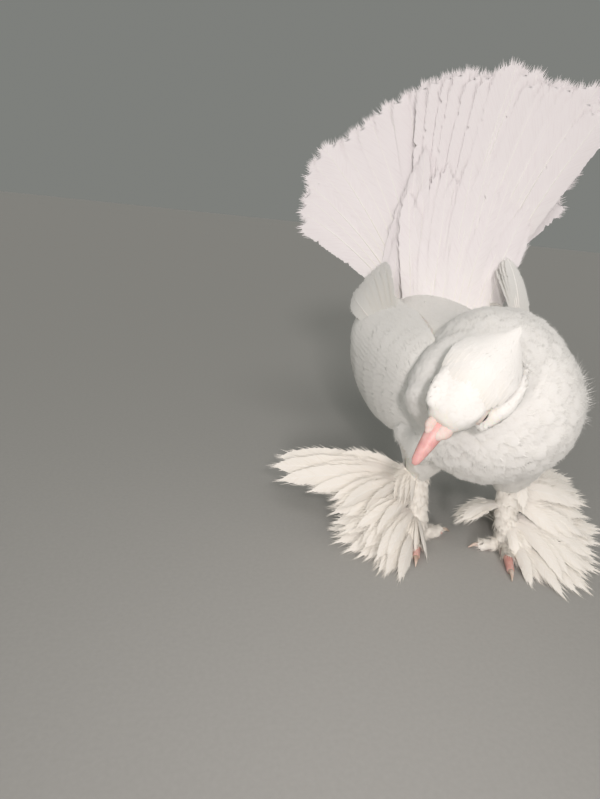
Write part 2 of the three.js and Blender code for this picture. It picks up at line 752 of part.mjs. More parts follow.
// The core of one tier of the fan: a short plate that the roots of its feathers sit in.
function fanCore(tier) {
  const rings = [];
  const [steps, along] = [12, 2];
  const face = ({ degrees, root, reach }, r, side) =>
    tailPoint(root, degrees, r, tierFront(tier, r, reach) + (side * CORE_THICK) / 2);
  for (let i = 0; i <= steps; i += 1) {
    const feather = tierAt(tier, i / steps);
    const edge = [];
    for (let j = 0; j <= along; j += 1) edge.push(tier.start + (CORE_LENGTH * j) / along);
    const back = edge.toReversed().map((r) => face(feather, r, -1));
    rings.push([...edge.map((r) => face(feather, r, 1)), ...back]);
  }
  const end = (share) => {
    const feather = tierAt(tier, share);
    feather.degrees += share ? 1 : -1;
    return face(feather, tier.start + CORE_LENGTH / 2, 0);
  };
  return loft(rings, end(0), end(1));
}

// The feathers of one tier. Each is turned about its shaft like the slat of a blind, so that
// its edge passes over the edge of the next one.
function fanVanes(tier, rootDepth) {
  const vanes = [];
  const last = tier.count - 1;
  for (let i = 0; i < tier.count; i += 1) {
    const { degrees, root, reach } = tierAt(tier, i / last);
    const long = reach * (1 + 0.02 * vary());
    const from = tier.start + rootDepth;
    const at = (t) => from + (long - from) * t;
    const path = (t) => tailPoint(root, degrees, at(t), tierFront(tier, at(t), reach));
    const turn = THREE.MathUtils.degToRad((tier.angles[1] - tier.angles[0]) / last);
    const between = (tier.roots[1] - tier.roots[0]) / last;
    const roll = (t) => Math.atan(VANE_STEP / (turn * at(t) + between));
    vanes.push(vaneAlong(path, () => tailFront, tier.half, roll, TAIL_SHAPE));
  }
  return vanes;
}

// Feathers that stand beside the left edge of the front fan and turn back.
function sideWall() {
  return SIDE_WALL.map(({ root, top, reach, front }) => {
    const from = FRONT_FAN.start;
    const path = (t) => {
      const r = from + (reach - from) * t;
      return tailPoint(root + (top - root) * t, 0, r, front * (0.5 + (0.5 * r) / TAIL_REACH));
    };
    return vaneAlong(path, () => tailFront, WALL_HALF, () => WALL_ROLL, TAIL_SHAPE);
  });
}

function thighLimb(leg, grow) {
  const [thigh, hock, foot] = [leg.thigh, leg.hock, leg.foot].map(vec);
  const knee = thigh.clone().lerp(hock, 0.55);
  const end = hock.clone().lerp(foot, 0.15);
  return limb(
    [thigh, knee, hock, end].map((p) => p.toArray()),
    THIGH_RADII.map((r) => r + grow),
    16,
    8,
    1,
    [0, 1, 0],
  );
}

const wingSpace = [];
const grownThighs = joined(Object.values(LEGS).map((leg) => thighLimb(leg, CLEAR)));
for (const [name, side] of [["wing_right", -1], ["wing_left", 1]]) {
  const rows = WING_ROWS.flatMap((row, i) => wingRow(side, row, i % 2 ? 0.25 : 0.75));
  const inner = tertials(side, TERTIALS[side > 0 ? "left" : "right"]);
  const feathers = joined([wingShell(side), ...rows, ...inner]);
  const solid = largest(feathers.subtract(grownBody).subtract(grownThighs));
  bird.add(toMesh(name, solid, COLOURS.plumage, 0.9));
  wingSpace.push(swollen(solid));
}

const grownRump = torsoLoft(CLEAR);
for (const [name, tier, wall] of [["tail_rear", REAR_FAN, []], ["tail_front", FRONT_FAN, sideWall()]]) {
  const fan = joined([fanCore(tier), ...fanVanes(tier, CORE_LENGTH * 0.4), ...wall]);
  bird.add(toMesh(name, fan.subtract(grownRump), COLOURS.tail, 0.9));
}
const coverts = joined(COVERTS.flatMap((tier) => fanVanes(tier, 0)));
const grownTorso = grownBody.subtract(atRump);
const rumpWhole = rumpSolid.add(coverts.subtract(grownTorso).subtract(joined(wingSpace)));
bird.add(toMesh("rump", rumpWhole, COLOURS.plumage, 0.9));

const floorSpace = halfSpace([0, 0, 0], [0, 0, 1]);

// The feathers of one foot, in tiers that grow from the shank and fan out over the floor.
function muffVanes(leg, tiers) {
  const { lerp, degToRad } = THREE.MathUtils;
  const [hock, foot] = [leg.hock, leg.foot].map(vec);
  const vanes = [];
  for (const tier of tiers) {
    for (let i = 0; i < tier.count; i += 1) {
      const share = i / (tier.count - 1);
      const heading = degToRad(lerp(...tier.heading, share) + 2 * vary());
      const reach = lerp(...tier.reach, share) * (1 + 0.08 * vary());
      const root = foot.clone().lerp(hock, tier.from);
      const away = new THREE.Vector3(Math.cos(heading), Math.sin(heading), 0);
      const tip = root.clone().addScaledVector(away, reach).setZ(lerp(...tier.tip, share));
      const start = root.clone().addScaledVector(away, 1.5);
      const bend = root.clone().addScaledVector(away, reach * 0.5);
      bend.z = Math.max(root.z, tip.z) + 3;
      const curve = new THREE.QuadraticBezierCurve3(start, bend, tip);
      const turn = degToRad(tier.heading[1] - tier.heading[0]) / (tier.count - 1);
      const roll = (t) => Math.atan(MUFF_STEP / (turn * Math.max(reach * t, 14)));
      const up = () => new THREE.Vector3(0, -(tier.lean ?? MUFF_LEAN), 1).normalize();
      vanes.push(vaneAlong((t) => curve.getPoint(t), up, lerp(...tier.half, share), roll));
    }
  }
  return joined(vanes);
}

for (const [side, leg] of Object.entries(LEGS)) {
  const [hock, foot] = [leg.hock, leg.foot].map(vec);
  const parting = [hock.toArray(), foot.clone().sub(hock).toArray()];
  const thigh = thighLimb(leg, 0).subtract(grownBody).subtract(halfSpace(...parting));
  bird.add(toMesh("thigh_" + side, thigh, COLOURS.plumage, 0.9));
  const shank = limb(
    [hock.clone().lerp(foot, -0.1).toArray(), hock.clone().lerp(foot, 0.5).toArray(), leg.foot],
    SHANK_RADII.slice(0, 3),
    12,
    6,
    1,
    [0, 1, 0],
  ).intersect(beyond(...parting, GAP));
  const pad = ball([foot.x, foot.y, SOLE_PAD[2] - SOLE_LIFT * 2], SOLE_PAD, 8);
  const pieces = [shank, pad];
  const grownClaws = [];
  for (const [toe, [x, y]] of Object.entries(leg.toes)) {
    const end = new THREE.Vector3(foot.x + x, foot.y + y, TOE_RADIUS - SOLE_LIFT);
    const middle = foot.clone().lerp(end, 0.5).setZ(TOE_RADIUS + 1.2);
    pieces.push(
      limb(
        [leg.foot, middle.toArray(), end.toArray()],
        [TOE_RADIUS * 1.25, TOE_RADIUS * 1.1, TOE_RADIUS * 0.9],
        8,
        5,
      ),
    );
    const along = end.clone().sub(foot).setZ(0).normalize();
    const root = end.clone().addScaledVector(along, GAP + 0.2).setZ(end.z + 0.4);
    const bend = root.clone().addScaledVector(along, CLAW_LENGTH * 0.55);
    const tip = root.clone().addScaledVector(along, CLAW_LENGTH);
    bend.z += 0.7;
    tip.z = 0.9;
    const clawPath = [root, bend, tip].map((p) => p.toArray());
    const claw = limb(clawPath, [1.5, 1.1, 0.35], 6, 4);
    grownClaws.push(limb(clawPath, [1.5, 1.1, 0.8].map((r) => r + CLEAR), 6, 4));
    const name = ["claw", side, toe].join("_");
    bird.add(toMesh(name, claw.intersect(floorSpace), COLOURS.claw, 0.4));
  }
  const aboveHock = grownThighs.subtract(beyond(...parting, GAP));
  const muff = muffVanes(leg, MUFFS[side]).subtract(aboveHock);
  const footSolid = joined([...pieces, muff.subtract(joined(grownClaws))]).intersect(floorSpace);
  bird.add(toMesh("foot_" + side, footSolid, COLOURS.toe, 0.7));
}

// The origin is the middle of the whole bird's box, on the floor.
const middle = new THREE.Box3().setFromObject(bird).getCenter(new THREE.Vector3());
bird.position.set(-middle.x, -middle.y, 0);

export default bird;
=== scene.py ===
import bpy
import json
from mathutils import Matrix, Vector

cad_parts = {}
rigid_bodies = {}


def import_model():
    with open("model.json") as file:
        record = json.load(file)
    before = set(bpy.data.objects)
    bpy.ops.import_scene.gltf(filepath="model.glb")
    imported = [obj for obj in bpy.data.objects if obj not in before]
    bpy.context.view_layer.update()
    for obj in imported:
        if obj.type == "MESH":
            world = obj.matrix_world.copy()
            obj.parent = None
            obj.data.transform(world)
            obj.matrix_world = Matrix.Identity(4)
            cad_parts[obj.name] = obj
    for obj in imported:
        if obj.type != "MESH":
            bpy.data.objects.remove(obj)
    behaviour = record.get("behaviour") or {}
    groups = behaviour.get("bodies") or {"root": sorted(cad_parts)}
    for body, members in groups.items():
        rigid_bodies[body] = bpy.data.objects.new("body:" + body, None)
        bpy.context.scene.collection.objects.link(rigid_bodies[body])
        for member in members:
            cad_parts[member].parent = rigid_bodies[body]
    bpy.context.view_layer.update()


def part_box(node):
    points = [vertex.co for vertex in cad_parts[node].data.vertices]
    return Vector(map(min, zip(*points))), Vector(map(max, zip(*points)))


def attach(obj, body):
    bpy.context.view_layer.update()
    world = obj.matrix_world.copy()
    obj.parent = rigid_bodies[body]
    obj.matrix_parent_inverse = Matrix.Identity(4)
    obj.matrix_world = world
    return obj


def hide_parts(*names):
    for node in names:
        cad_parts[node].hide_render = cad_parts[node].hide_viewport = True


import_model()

# %% [markdown]
# The real bird is a white fantail pigeon: a round body under small feathers that overlap
# like roof tiles, a fan of long tail feathers, wings folded at its sides, and feathered
# feet. Everything is worked out here in millimetres, in the bird's own axes: it faces -Y,
# its left side is +X, and the floor is z = 0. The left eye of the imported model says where
# that frame lies, so the same numbers fit both.

# %% The bird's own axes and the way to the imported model
import json
import math

import bpy
import numpy as np
from mathutils import Matrix, Vector
from mathutils.bvhtree import BVHTree

MM = 0.001
random = np.random.default_rng(41)


def unit(v):
    v = np.asarray(v, float)
    return v / np.maximum(np.linalg.norm(v, axis=-1, keepdims=True), 1e-9)


HEAD_CENTRE = np.array([-54.2, -55.0, 130.7])
head_forward = unit([-0.629, -0.302, -0.718])
head_left = unit(np.cross([-0.281, -0.771, 0.572], head_forward))
head_up = np.cross(head_forward, head_left)


def head_point(forward, left, up):
    """Points given by distances along the head's own axes."""
    f, l, u = (np.asarray(a, float)[..., None] for a in (forward, left, up))
    return HEAD_CENTRE + f * head_forward + l * head_left + u * head_up


EYE = {"forward": 1.0, "side": 11.0, "up": 0.8, "radius": 4.85, "colour_reach": 4.9}
low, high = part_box("eye_left")
eye_left = (np.array(low) + np.array(high)) / 2 / MM
OFFSET = eye_left - head_point(EYE["forward"], EYE["side"], EYE["up"])


def to_frame(points):
    return (np.asarray(points, float) + OFFSET) * MM


print("offset of the packed model in mm:", OFFSET.round(2))

# %% [markdown]
# The forms are tables of stations, as a taxidermist's body form is a row of cut outlines.
# Values between two stations follow a smooth curve, so few numbers give a round form.


# %% Smooth values between stations
def station(table, place, column):
    table = np.asarray(table, float)
    x, y = table[:, 0], table[:, column]
    place = np.clip(np.asarray(place, float), x[0], x[-1])
    i = np.clip(np.searchsorted(x, place, side="right") - 1, 0, len(x) - 2)
    slope = np.empty(len(x))
    slope[1:-1] = (y[2:] - y[:-2]) / (x[2:] - x[:-2])
    slope[0] = (y[1] - y[0]) / (x[1] - x[0])
    slope[-1] = (y[-1] - y[-2]) / (x[-1] - x[-2])
    span = x[i + 1] - x[i]
    t = (place - x[i]) / span
    a, b = slope[i] * span, slope[i + 1] * span
    c = 2 * (y[i] - y[i + 1]) + a + b
    d = 3 * (y[i + 1] - y[i]) - 2 * a - b
    return ((c * t + d) * t + a) * t + y[i]


def smooth_path(points, steps):
    """A smooth line through a few points, as rows of x, y, z."""
    points = np.asarray(points, float)
    table = np.c_[np.arange(len(points)), points]
    t = np.linspace(0, len(points) - 1, steps)
    return np.stack([station(table, t, c) for c in (1, 2, 3)], -1)


print("a quarter of the way from 0 to 1:", float(station([[0, 0], [1, 1]], 0.25, 1)))

# %% [markdown]
# Every new piece is a plain mesh made from rows of numbers. One function makes the object,
# gives it its finish, hides the plain form that it stands for, and ties it to the frame.


# %% A mesh object from rows of numbers
def make_piece(name, points, faces, material, stands_for=(), uv=None, values=None):
    points = to_frame(points)
    sizes = np.array([len(f) for f in faces]) if isinstance(faces, list) else None
    mesh = bpy.data.meshes.new(name)
    if sizes is None:
        count, corners = faces.shape
        loops = faces.ravel()
        starts = np.arange(count) * corners
    else:
        loops = np.concatenate([np.asarray(f) for f in faces])
        starts = np.r_[0, np.cumsum(sizes)[:-1]]
        count = len(faces)
    mesh.vertices.add(len(points))
    mesh.vertices.foreach_set("co", points.astype(np.float32).ravel())
    mesh.loops.add(len(loops))
    mesh.loops.foreach_set("vertex_index", loops.astype(np.int32))
    mesh.polygons.add(count)
    mesh.polygons.foreach_set("loop_start", starts.astype(np.int32))
    mesh.update(calc_edges=True)
    mesh.validate()
    mesh.polygons.foreach_set("use_smooth", np.ones(len(mesh.polygons), bool))
    if uv is not None:
        layer = mesh.uv_layers.new(name="OFBake")
        corner = np.empty(len(mesh.loops), np.int32)
        mesh.loops.foreach_get("vertex_index", corner)
        layer.data.foreach_set("uv", uv[corner].astype(np.float32).ravel())
    for key, value in (values or {}).items():
        attribute = mesh.attributes.new(key, "FLOAT", "POINT")
        attribute.data.foreach_set("value", np.asarray(value, np.float32))
    mesh.materials.append(material)
    piece = bpy.data.objects.new(name, mesh)
    bpy.context.scene.collection.objects.link(piece)
    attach(piece, "root")
    if stands_for:
        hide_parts(*stands_for)
    triangles = int(np.sum(np.diff(np.r_[starts, len(loops)]) - 2))
    print(f"{name}: {triangles} triangles")
    return piece


# %% [markdown]
# Finishes. Feather is keratin, the stuff of hair: matt, white here, a little see-through,
# with a soft bright rim where its barbs catch the light from the side. Skin of the feet
# and bill is thin, so the blood under it makes it pink.


# %% Colour and node helpers
def linear(code):
    """An sRGB hex colour as the linear values that a shader takes."""
    parts = [int(code[i : i + 2], 16) / 255 for i in (1, 3, 5)]
    return [p / 12.92 if p <= 0.04045 else ((p + 0.055) / 1.055) ** 2.4 for p in parts] + [1.0]


def add_node(tree, kind, settings=None, links=None):
    """Adds a node, sets its properties and sockets, and links its inputs."""
    node = tree.nodes.new(kind)
    for key, value in (settings or {}).items():
        if isinstance(key, int) or key in node.inputs:
            node.inputs[key].default_value = value
        else:
            setattr(node, key, value)
    for key, socket in (links or {}).items():
        tree.links.new(socket, node.inputs[key])
    return node


def new_material(name, settings):
    material = bpy.data.materials.new(name)
    material.use_nodes = True
    tree = material.node_tree
    shader = tree.nodes["Principled BSDF"]
    for key, value in settings.items():
        shader.inputs[key].default_value = value
    return material, tree, shader


print("linear value of mid grey #808080:", round(linear("#808080")[0], 3))

# %% [markdown]
# A feather's vane is keratin that grew in fine barbs, side by side. It is matt and white
# with a soft rim, and the barbs give it streaks that slant out from the shaft. An image
# could be laid on the vane, but here the streaks are worked out from each point's place on
# its own feather, so no two feathers are alike.

# %% White feather
BARB_SLANT = 1.1  # how far a barb runs on towards the tip for each millimetre out
STREAK_STRETCH = 0.12  # well under 1, so that a streak is longer than it is wide
STREAK_SHIFT = 90.0  # moves the pattern from feather to feather, so that no two are alike


def feather_material(name, tip, root, shade, sheen=0.15, barb_mm=0.9, relief_mm=0.05):
    """Keratin vane: darker at the root, painted shade where other feathers lie over it, and paler to the tip,
    with fine streaks that run as the barbs do.

    Real barbs lie about 0.3 mm apart, too fine to show here, so the streaks stand for
    clumps of two or three barbs. "along_mm" and "across_mm" are places on the feather.
    """
    settings = {
        "Roughness": 0.8, "IOR": 1.54, "Specular IOR Level": 0.2,
        "Sheen Weight": sheen, "Sheen Roughness": 0.6,
    }
    material, tree, shader = new_material(name, settings)
    along = add_node(tree, "ShaderNodeAttribute", {"attribute_name": "along"})
    length = add_node(tree, "ShaderNodeAttribute", {"attribute_name": "along_mm"})
    width = add_node(tree, "ShaderNodeAttribute", {"attribute_name": "across_mm"})
    tone = add_node(tree, "ShaderNodeAttribute", {"attribute_name": "tone"})
    outward = add_node(tree, "ShaderNodeMath", {"operation": "ABSOLUTE"}, {0: width.outputs["Fac"]})
    slant = add_node(
        tree,
        "ShaderNodeMath",
        {"operation": "MULTIPLY_ADD", 1: -BARB_SLANT},
        {0: outward.outputs[0], 2: length.outputs["Fac"]},
    )
    pitch = add_node(
        tree,
        "ShaderNodeMath",
        {"operation": "MULTIPLY", 1: 1 / barb_mm},
        {0: slant.outputs[0]},
    )
    spread = add_node(
        tree,
        "ShaderNodeMath",
        {"operation": "MULTIPLY", 1: STREAK_STRETCH},
        {0: width.outputs["Fac"]},
    )
    apart = add_node(
        tree,
        "ShaderNodeMath",
        {"operation": "MULTIPLY", 1: STREAK_SHIFT},
        {0: tone.outputs["Fac"]},
    )
    place = add_node(
        tree,
        "ShaderNodeCombineXYZ",
        None,
        {"X": pitch.outputs[0], "Y": spread.outputs[0], "Z": apart.outputs[0]},
    )
    streak = add_node(
        tree, "ShaderNodeTexNoise", {"Scale": 1.0, "Detail": 1.5}, {"Vector": place.outputs[0]}
    )
    # Painted shade: each feather runs from the darker root colour to the tip colour, standing for the shade
    # of the feathers that lie over its root. A tint in the tip colour, such as the tail's faint pink, is the
    # feather's own colour.
    ramp = add_node(tree, "ShaderNodeValToRGB", None, {"Fac": along.outputs["Fac"]})
    ramp.color_ramp.elements[0].color = linear(root)
    ramp.color_ramp.elements[1].color = linear(tip)
    ramp.color_ramp.elements[1].position = 0.6
    amount = add_node(
        tree, "ShaderNodeMapRange", {"From Min": 0.5, "From Max": 0.8, "To Min": 0.0, "To Max": 0.6},
        {"Value": streak.outputs["Fac"]},
    )
    mix = add_node(tree, "ShaderNodeMix", {"data_type": "RGBA"})
    mix.inputs["B"].default_value = linear(shade)
    tree.links.new(amount.outputs["Result"], mix.inputs["Factor"])
    tree.links.new(ramp.outputs["Color"], mix.inputs["A"])
    tree.links.new(mix.outputs["Result"], shader.inputs["Base Color"])
    bump = add_node(
        tree,
        "ShaderNodeBump",
        {"Strength": 0.6, "Distance": relief_mm * MM},
        {"Height": streak.outputs["Fac"]},
    )
    tree.links.new(bump.outputs["Normal"], shader.inputs["Normal"])
    return material


# The second colour of each, at the root, is darker than the tip: painted shade under the overlapping
# feathers.
body_feather = feather_material("white_body_feather", "#F7F6F2", "#EFEDE6", "#EEECE6", relief_mm=0.03)
tail_feather = feather_material("white_tail_feather", "#F8F3F4", "#F6F4F0", "#EFE7E9")
muff_feather = feather_material("cream_foot_feather", "#FAF6EE", "#F4EEE6", "#EFE7DA")
print("feather finishes made")


# %% [markdown]
# Skin and horn share one recipe: two close colours in soft blotches, where more or less
# blood shines through, and a net of fine grains that stands for scales, pores or growth
# lines. Light sinks in a little, so edges stay soft.

# %% Bare skin and horn
BLOTCHES_PER_METRE = 220.0  # a blotch is about 4.5 mm across


def skin_material(name, colour, deep, roughness, grain_mm, bump_mm):
    material, tree, shader = new_material(
        name, {"Roughness": roughness, "IOR": 1.45, "Subsurface Weight": 0.15, "Subsurface Scale": 0.002}
    )
    where = add_node(tree, "ShaderNodeTexCoord")
    blotch = add_node(
        tree,
        "ShaderNodeTexNoise",
        {"Scale": BLOTCHES_PER_METRE, "Detail": 4.0},
        {"Vector": where.outputs["Object"]},
    )
    ramp = add_node(tree, "ShaderNodeValToRGB", None, {"Fac": blotch.outputs["Fac"]})
    ramp.color_ramp.elements[0].color = linear(deep)
    ramp.color_ramp.elements[0].position = 0.35
    ramp.color_ramp.elements[1].color = linear(colour)
    ramp.color_ramp.elements[1].position = 0.65
    tree.links.new(ramp.outputs["Color"], shader.inputs["Base Color"])
    cells = add_node(
        tree,
        "ShaderNodeTexVoronoi",
        {"Scale": 1 / (grain_mm * MM)},
        {"Vector": where.outputs["Object"]},
    )
    bump = add_node(
        tree,
        "ShaderNodeBump",
        {"Strength": 0.5, "Distance": bump_mm * MM},
        {"Height": cells.outputs["Distance"]},
    )
    tree.links.new(bump.outputs["Normal"], shader.inputs["Normal"])
    return material


bare_skin = skin_material("white_feathered_skin", "#F2F0EA", "#ECE8DF", 0.85, 1.2, 0.05)
foot_skin = skin_material("pink_scaled_skin", "#EDC4BA", "#DE9F95", 0.5, 0.8, 0.12)
bill_horn = skin_material("pink_bill_horn", "#EBBEB8", "#E0A5A0", 0.42, 2.0, 0.03)
cere_skin = skin_material("powdery_cere_skin", "#EBDCD4", "#E2C9C0", 0.7, 0.6, 0.05)
lid_skin = skin_material("pale_lid_skin", "#EFE4DC", "#DFCFC4", 0.65, 0.5, 0.05)
claw_horn = skin_material("pale_claw_horn", "#E6D6C8", "#C9AE9C", 0.35, 2.5, 0.02)
print("skin and horn finishes made")

# %% [markdown]
# Under the feathers lies one skin. It could be modelled by hand with a sculpting brush,
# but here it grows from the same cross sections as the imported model, drawn in by the depth
# of the coat. The pieces cross one another, and a voxel remesh fuses them to one surface
# with no seam, which the feathers then stand on.

# %% Cross sections of body, neck, head and thighs
TORSO_X = -3.0
TORSO = [
    [-50, 112, 15, 14, 14], [-42, 112, 31, 29, 29], [-24, 112, 44, 43, 43], [0, 113, 50, 46, 47],
    [30, 114, 52, 42, 47], [60, 117, 51, 38, 41], [90, 124, 45, 33, 32], [112, 131, 35, 26, 25],
    [130, 137, 24, 18, 18],
]
PUFF_CENTRE, PUFF_RADII = np.array([-6.0, -3.0, 114.0]), np.array([51.0, 50.0, 51.0])
NECK_PATH = [[-8, -4, 126], [-20, -18, 131], [-33, -34, 134], [-46, -49, 134]]
NECK_RADII = [44, 37, 25, 15]
HEAD = [
    [-19, 10, 8, 7], [-16, 13.8, 10.6, 10], [-10, 16.4, 12.8, 12.2], [-2, 15.8, 13.2, 12.2],
    [6, 14.0, 11.8, 10.2], [12, 11.6, 9.2, 7.8], [17, 8.0, 5.9, 5.8],
]
LEGS = {
    "right": {
        "thigh": [-27, 16, 88], "hock": [-26, 31, 47], "foot": [-21, 24, 5.5],
        "toes": {"middle": [-10, -24], "outer": [-22, -13], "inner": [21, 6], "hind": [-6, 15]},
        "radii": [28, 17, 9, 7],
    },
    "left": {
        "thigh": [24, 6, 88], "hock": [36, 20, 47], "foot": [38, 9, 5.5],
        "toes": {"middle": [-11, -27], "outer": [12, -24], "inner": [-17, 2], "hind": [6, 16]},
        "radii": [28, 20, 11.5, 8],
    },
}
# The fluffy flank over the bird's right leg: centre and radii of each ball.
FLANK = [[[-45, 2, 86], [13, 20, 14]], [[-39, 11, 78], [12.5, 16, 13.5]]]
# Balls of the ruff round the head: centre and radii along the head's own axes.
RUFF = [[[-18, -9, -34], [30, 23.0, 27.0]], [[2, -9, -30], [11, 18.0, 20.0]]]
# The roll of feathers beside the crest, as a path along the head's own axes, and its radii.
ROLL_PATH = [
    [-34, 15.5, -5.0], [-29, 17.6, -2.2], [-22, 19.4, -0.2],
    [-12, 20.4, -0.6], [-2, 18.8, -2.8], [6, 15.0, -5.8],
]
ROLL_RADII = [2.6, 3.4, 4.2, 4.6, 4.2, 3.4]
# Brow over each eye: centre and radii along the head's own axes.
BROWS = [[[1, 9.6, 5.9], [8.5, 3.6, 2.4]], [[-1, -9.4, 6.0], [16, 5.8, 3.4]]]
# Depth of the feather coat, by which the skin lies inside the outline.
COAT = 2.2
HEAD_COAT = 1.0
ROLL_COAT = 1.3
print("stations along the body:", len(TORSO), "and along the head:", len(HEAD))

# %% [markdown]
# Every form is a row of rings: ovals across the body and head, circles along a neck or
# leg, and balls for what is puffed out. Faces between the rings and a fan of triangles at
# each end close it. Blender's own spheres and tubes would need as many numbers to bend.


# %% Rings and closed forms
def oval_rings(centres, side, up, half, above, below, sides):
    """Rings of points, one oval round each centre."""
    turn = np.linspace(0, 2 * np.pi, sides, endpoint=False)
    tall = np.where(np.sin(turn) > 0, above[:, None], below[:, None])
    return (
        centres[:, None]
        + (np.cos(turn) * half[:, None])[..., None] * side
        + (np.sin(turn) * tall)[..., None] * up
    )


def closed_loft(rings):
    """Faces of a tube through rings, with a fan of triangles at each end."""
    count, sides = rings.shape[:2]
    points = np.concatenate([rings.reshape(-1, 3), rings[:1].mean(1), rings[-1:].mean(1)])
    faces = []
    for i in range(count - 1):
        for j in range(sides):
            a, b = i * sides + j, i * sides + (j + 1) % sides
            faces.append([a, b, b + sides, a + sides])
    first, last = count * sides, (count - 1) * sides
    for j in range(sides):
        faces.append([first, (j + 1) % sides, j])
        faces.append([first + 1, last + j, last + (j + 1) % sides])
    corners = np.array([face[:3] for face in faces])
    a, b, c = (points[corners[:, k]] - points.mean(0) for k in range(3))
    if np.sum(a * np.cross(b, c)) < 0:
        faces = [face[::-1] for face in faces]
    return points, faces


def limb_rings(path, radii, sides, steps, hint=(0, 1, 0)):
    line = smooth_path(path, steps)
    along = unit(np.gradient(line, axis=0))
    side = unit(np.cross(along, hint))
    up = np.cross(side, along)
    share = np.linspace(0, 1, steps)
    r = station(np.c_[np.linspace(0, 1, len(radii)), radii], share, 1)
    turn = np.linspace(0, 2 * np.pi, sides, endpoint=False)
    return (
        line[:, None]
        + (np.cos(turn) * r[:, None])[..., None] * side[:, None]
        + (np.sin(turn) * r[:, None])[..., None] * up[:, None]
    )


def head_ball(centre, radii, rows=18, sides=28):
    """Rings of a ball with its radii along the head's own axes."""
    turn = np.linspace(0.02, np.pi - 0.02, rows)[:, None]
    around = np.linspace(0, 2 * np.pi, sides, endpoint=False)
    return head_point(
        centre[0] + radii[0] * np.cos(turn) * np.ones_like(around),
        centre[1] + radii[1] * np.sin(turn) * np.cos(around),
        centre[2] + radii[2] * np.sin(turn) * np.sin(around),
    )


print("faces of one plain ball:", len(closed_loft(head_ball([0, 0, 0], [1, 1, 1]))[1]))

# %% [markdown]
# The body is put together as a taxidermist's form is: trunk, breast, neck, head, thighs,
# and the soft swellings that the feathers make at the flank, the ruff and the brows.


# %% The crossing forms of the body
def body_forms():
    """The crossing closed forms that the skin is fused from."""
    y = np.linspace(TORSO[0][0], TORSO[-1][0], 40)
    z, half, above, below = (station(TORSO, y, c) for c in (1, 2, 3, 4))
    centres = np.stack([np.full_like(y, TORSO_X), y, z], -1)
    forms = [oval_rings(centres, [1, 0, 0], [0, 0, 1], half - COAT, above - COAT, below - COAT, 48)]
    turn = np.linspace(0.05, np.pi - 0.05, 30)
    height, ring = np.cos(turn), np.sin(turn)
    around = np.linspace(0, 2 * np.pi, 56, endpoint=False)
    unit_ball = np.stack(
        [
            ring[:, None] * np.cos(around),
            ring[:, None] * np.sin(around),
            height[:, None] * np.ones_like(around),
        ],
        -1,
    )
    forms.append(PUFF_CENTRE + (PUFF_RADII - COAT) * unit_ball)
    for centre, radii in FLANK:
        forms.append(np.array(centre) + (np.array(radii) - COAT) * unit_ball)
    forms.append(limb_rings(NECK_PATH, np.array(NECK_RADII) - COAT, 40, 16, (0, 0, 1)))
    f = np.linspace(HEAD[0][0], HEAD[-1][0], 30)
    half, above, below = (station(HEAD, f, c) - HEAD_COAT for c in (1, 2, 3))
    forms.append(oval_rings(head_point(f, 0 * f, 0 * f), head_left, head_up, half, above, below, 40))
    for centre, radii in BROWS:
        forms.append(head_ball(centre, radii))
    for centre, radii in RUFF:
        forms.append(head_ball(centre, np.array(radii) - COAT, 24, 40))
    roll = head_point(*np.transpose(ROLL_PATH))
    forms.append(limb_rings(roll, np.array(ROLL_RADII) - ROLL_COAT, 20, 40, (0, 0, 1)))
    for leg in LEGS.values():
        thigh, hock, foot = (np.array(leg[k], float) for k in ("thigh", "hock", "foot"))
        line = [thigh, thigh + 0.55 * (hock - thigh), hock, hock + 0.15 * (foot - hock)]
        forms.append(limb_rings(line, np.array(leg["radii"]) - COAT, 32, 18))
    return forms


print("closed forms that cross one another:", len(body_forms()))

# %% [markdown]
# Joining the forms by booleans would leave seams. A voxel remesh samples them all as one
# volume and draws a single surface round it, and a smooth pass takes off the steps. The
# surface is then unwrapped to a flat map.

# %% Crossing forms fused to one surface
def join_forms(forms):
    points, faces, base = [], [], 0
    for rings in forms:
        p, f = closed_loft(rings)
        points.append(p)
        faces += [[i + base for i in face] for face in f]
        base += len(p)
    return np.concatenate(points), faces


def fused_mesh(name, forms, voxel_mm, smooth_steps):
    points, faces = join_forms(forms)
    mesh = bpy.data.meshes.new(name)
    mesh.from_pydata(to_frame(points).tolist(), [], faces)
    rough = bpy.data.objects.new(name, mesh)
    bpy.context.scene.collection.objects.link(rough)
    remesh = rough.modifiers.new("fuse", "REMESH")
    remesh.mode = "VOXEL"
    remesh.voxel_size = voxel_mm * MM
    soften = rough.modifiers.new("soften", "SMOOTH")
    soften.factor = 0.5
    soften.iterations = smooth_steps
    graph = bpy.context.evaluated_depsgraph_get()
    fused = bpy.data.meshes.new_from_object(rough.evaluated_get(graph))
    bpy.data.objects.remove(rough)
    return fused


def unwrap(piece, name="OFBake"):
    """Cuts the surface into charts by the way it faces and lays them out flat."""
    bpy.ops.object.select_all(action="DESELECT")
    bpy.context.view_layer.objects.active = piece
    piece.select_set(True)
    piece.data.uv_layers.new(name=name)
    bpy.ops.object.mode_set(mode="EDIT")
    bpy.ops.mesh.select_all(action="SELECT")
    bpy.ops.uv.smart_project(angle_limit=math.radians(66), island_margin=0.004)
    bpy.ops.object.mode_set(mode="OBJECT")


SKIN_VOXEL = 1.6
skin_mesh = fused_mesh("skin", body_forms(), SKIN_VOXEL, 6)
skin_mesh.polygons.foreach_set("use_smooth", np.ones(len(skin_mesh.polygons), bool))
skin_mesh.materials.clear()
skin_mesh.materials.append(bare_skin)
skin = bpy.data.objects.new("skin", skin_mesh)
bpy.context.scene.collection.objects.link(skin)
unwrap(skin)
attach(skin, "root")
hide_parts("head", "neck", "torso", "rump", "thigh_left", "thigh_right")
print("skin:", len(skin_mesh.polygons), "faces")

# %% [markdown]
# To set a feather on a skin, three things are asked of it at any point: the nearest place
# on the surface, which way is out, and where that place lies on the flat unwrap. A bounding
# volume tree answers the first two quickly, also for many thousand points.


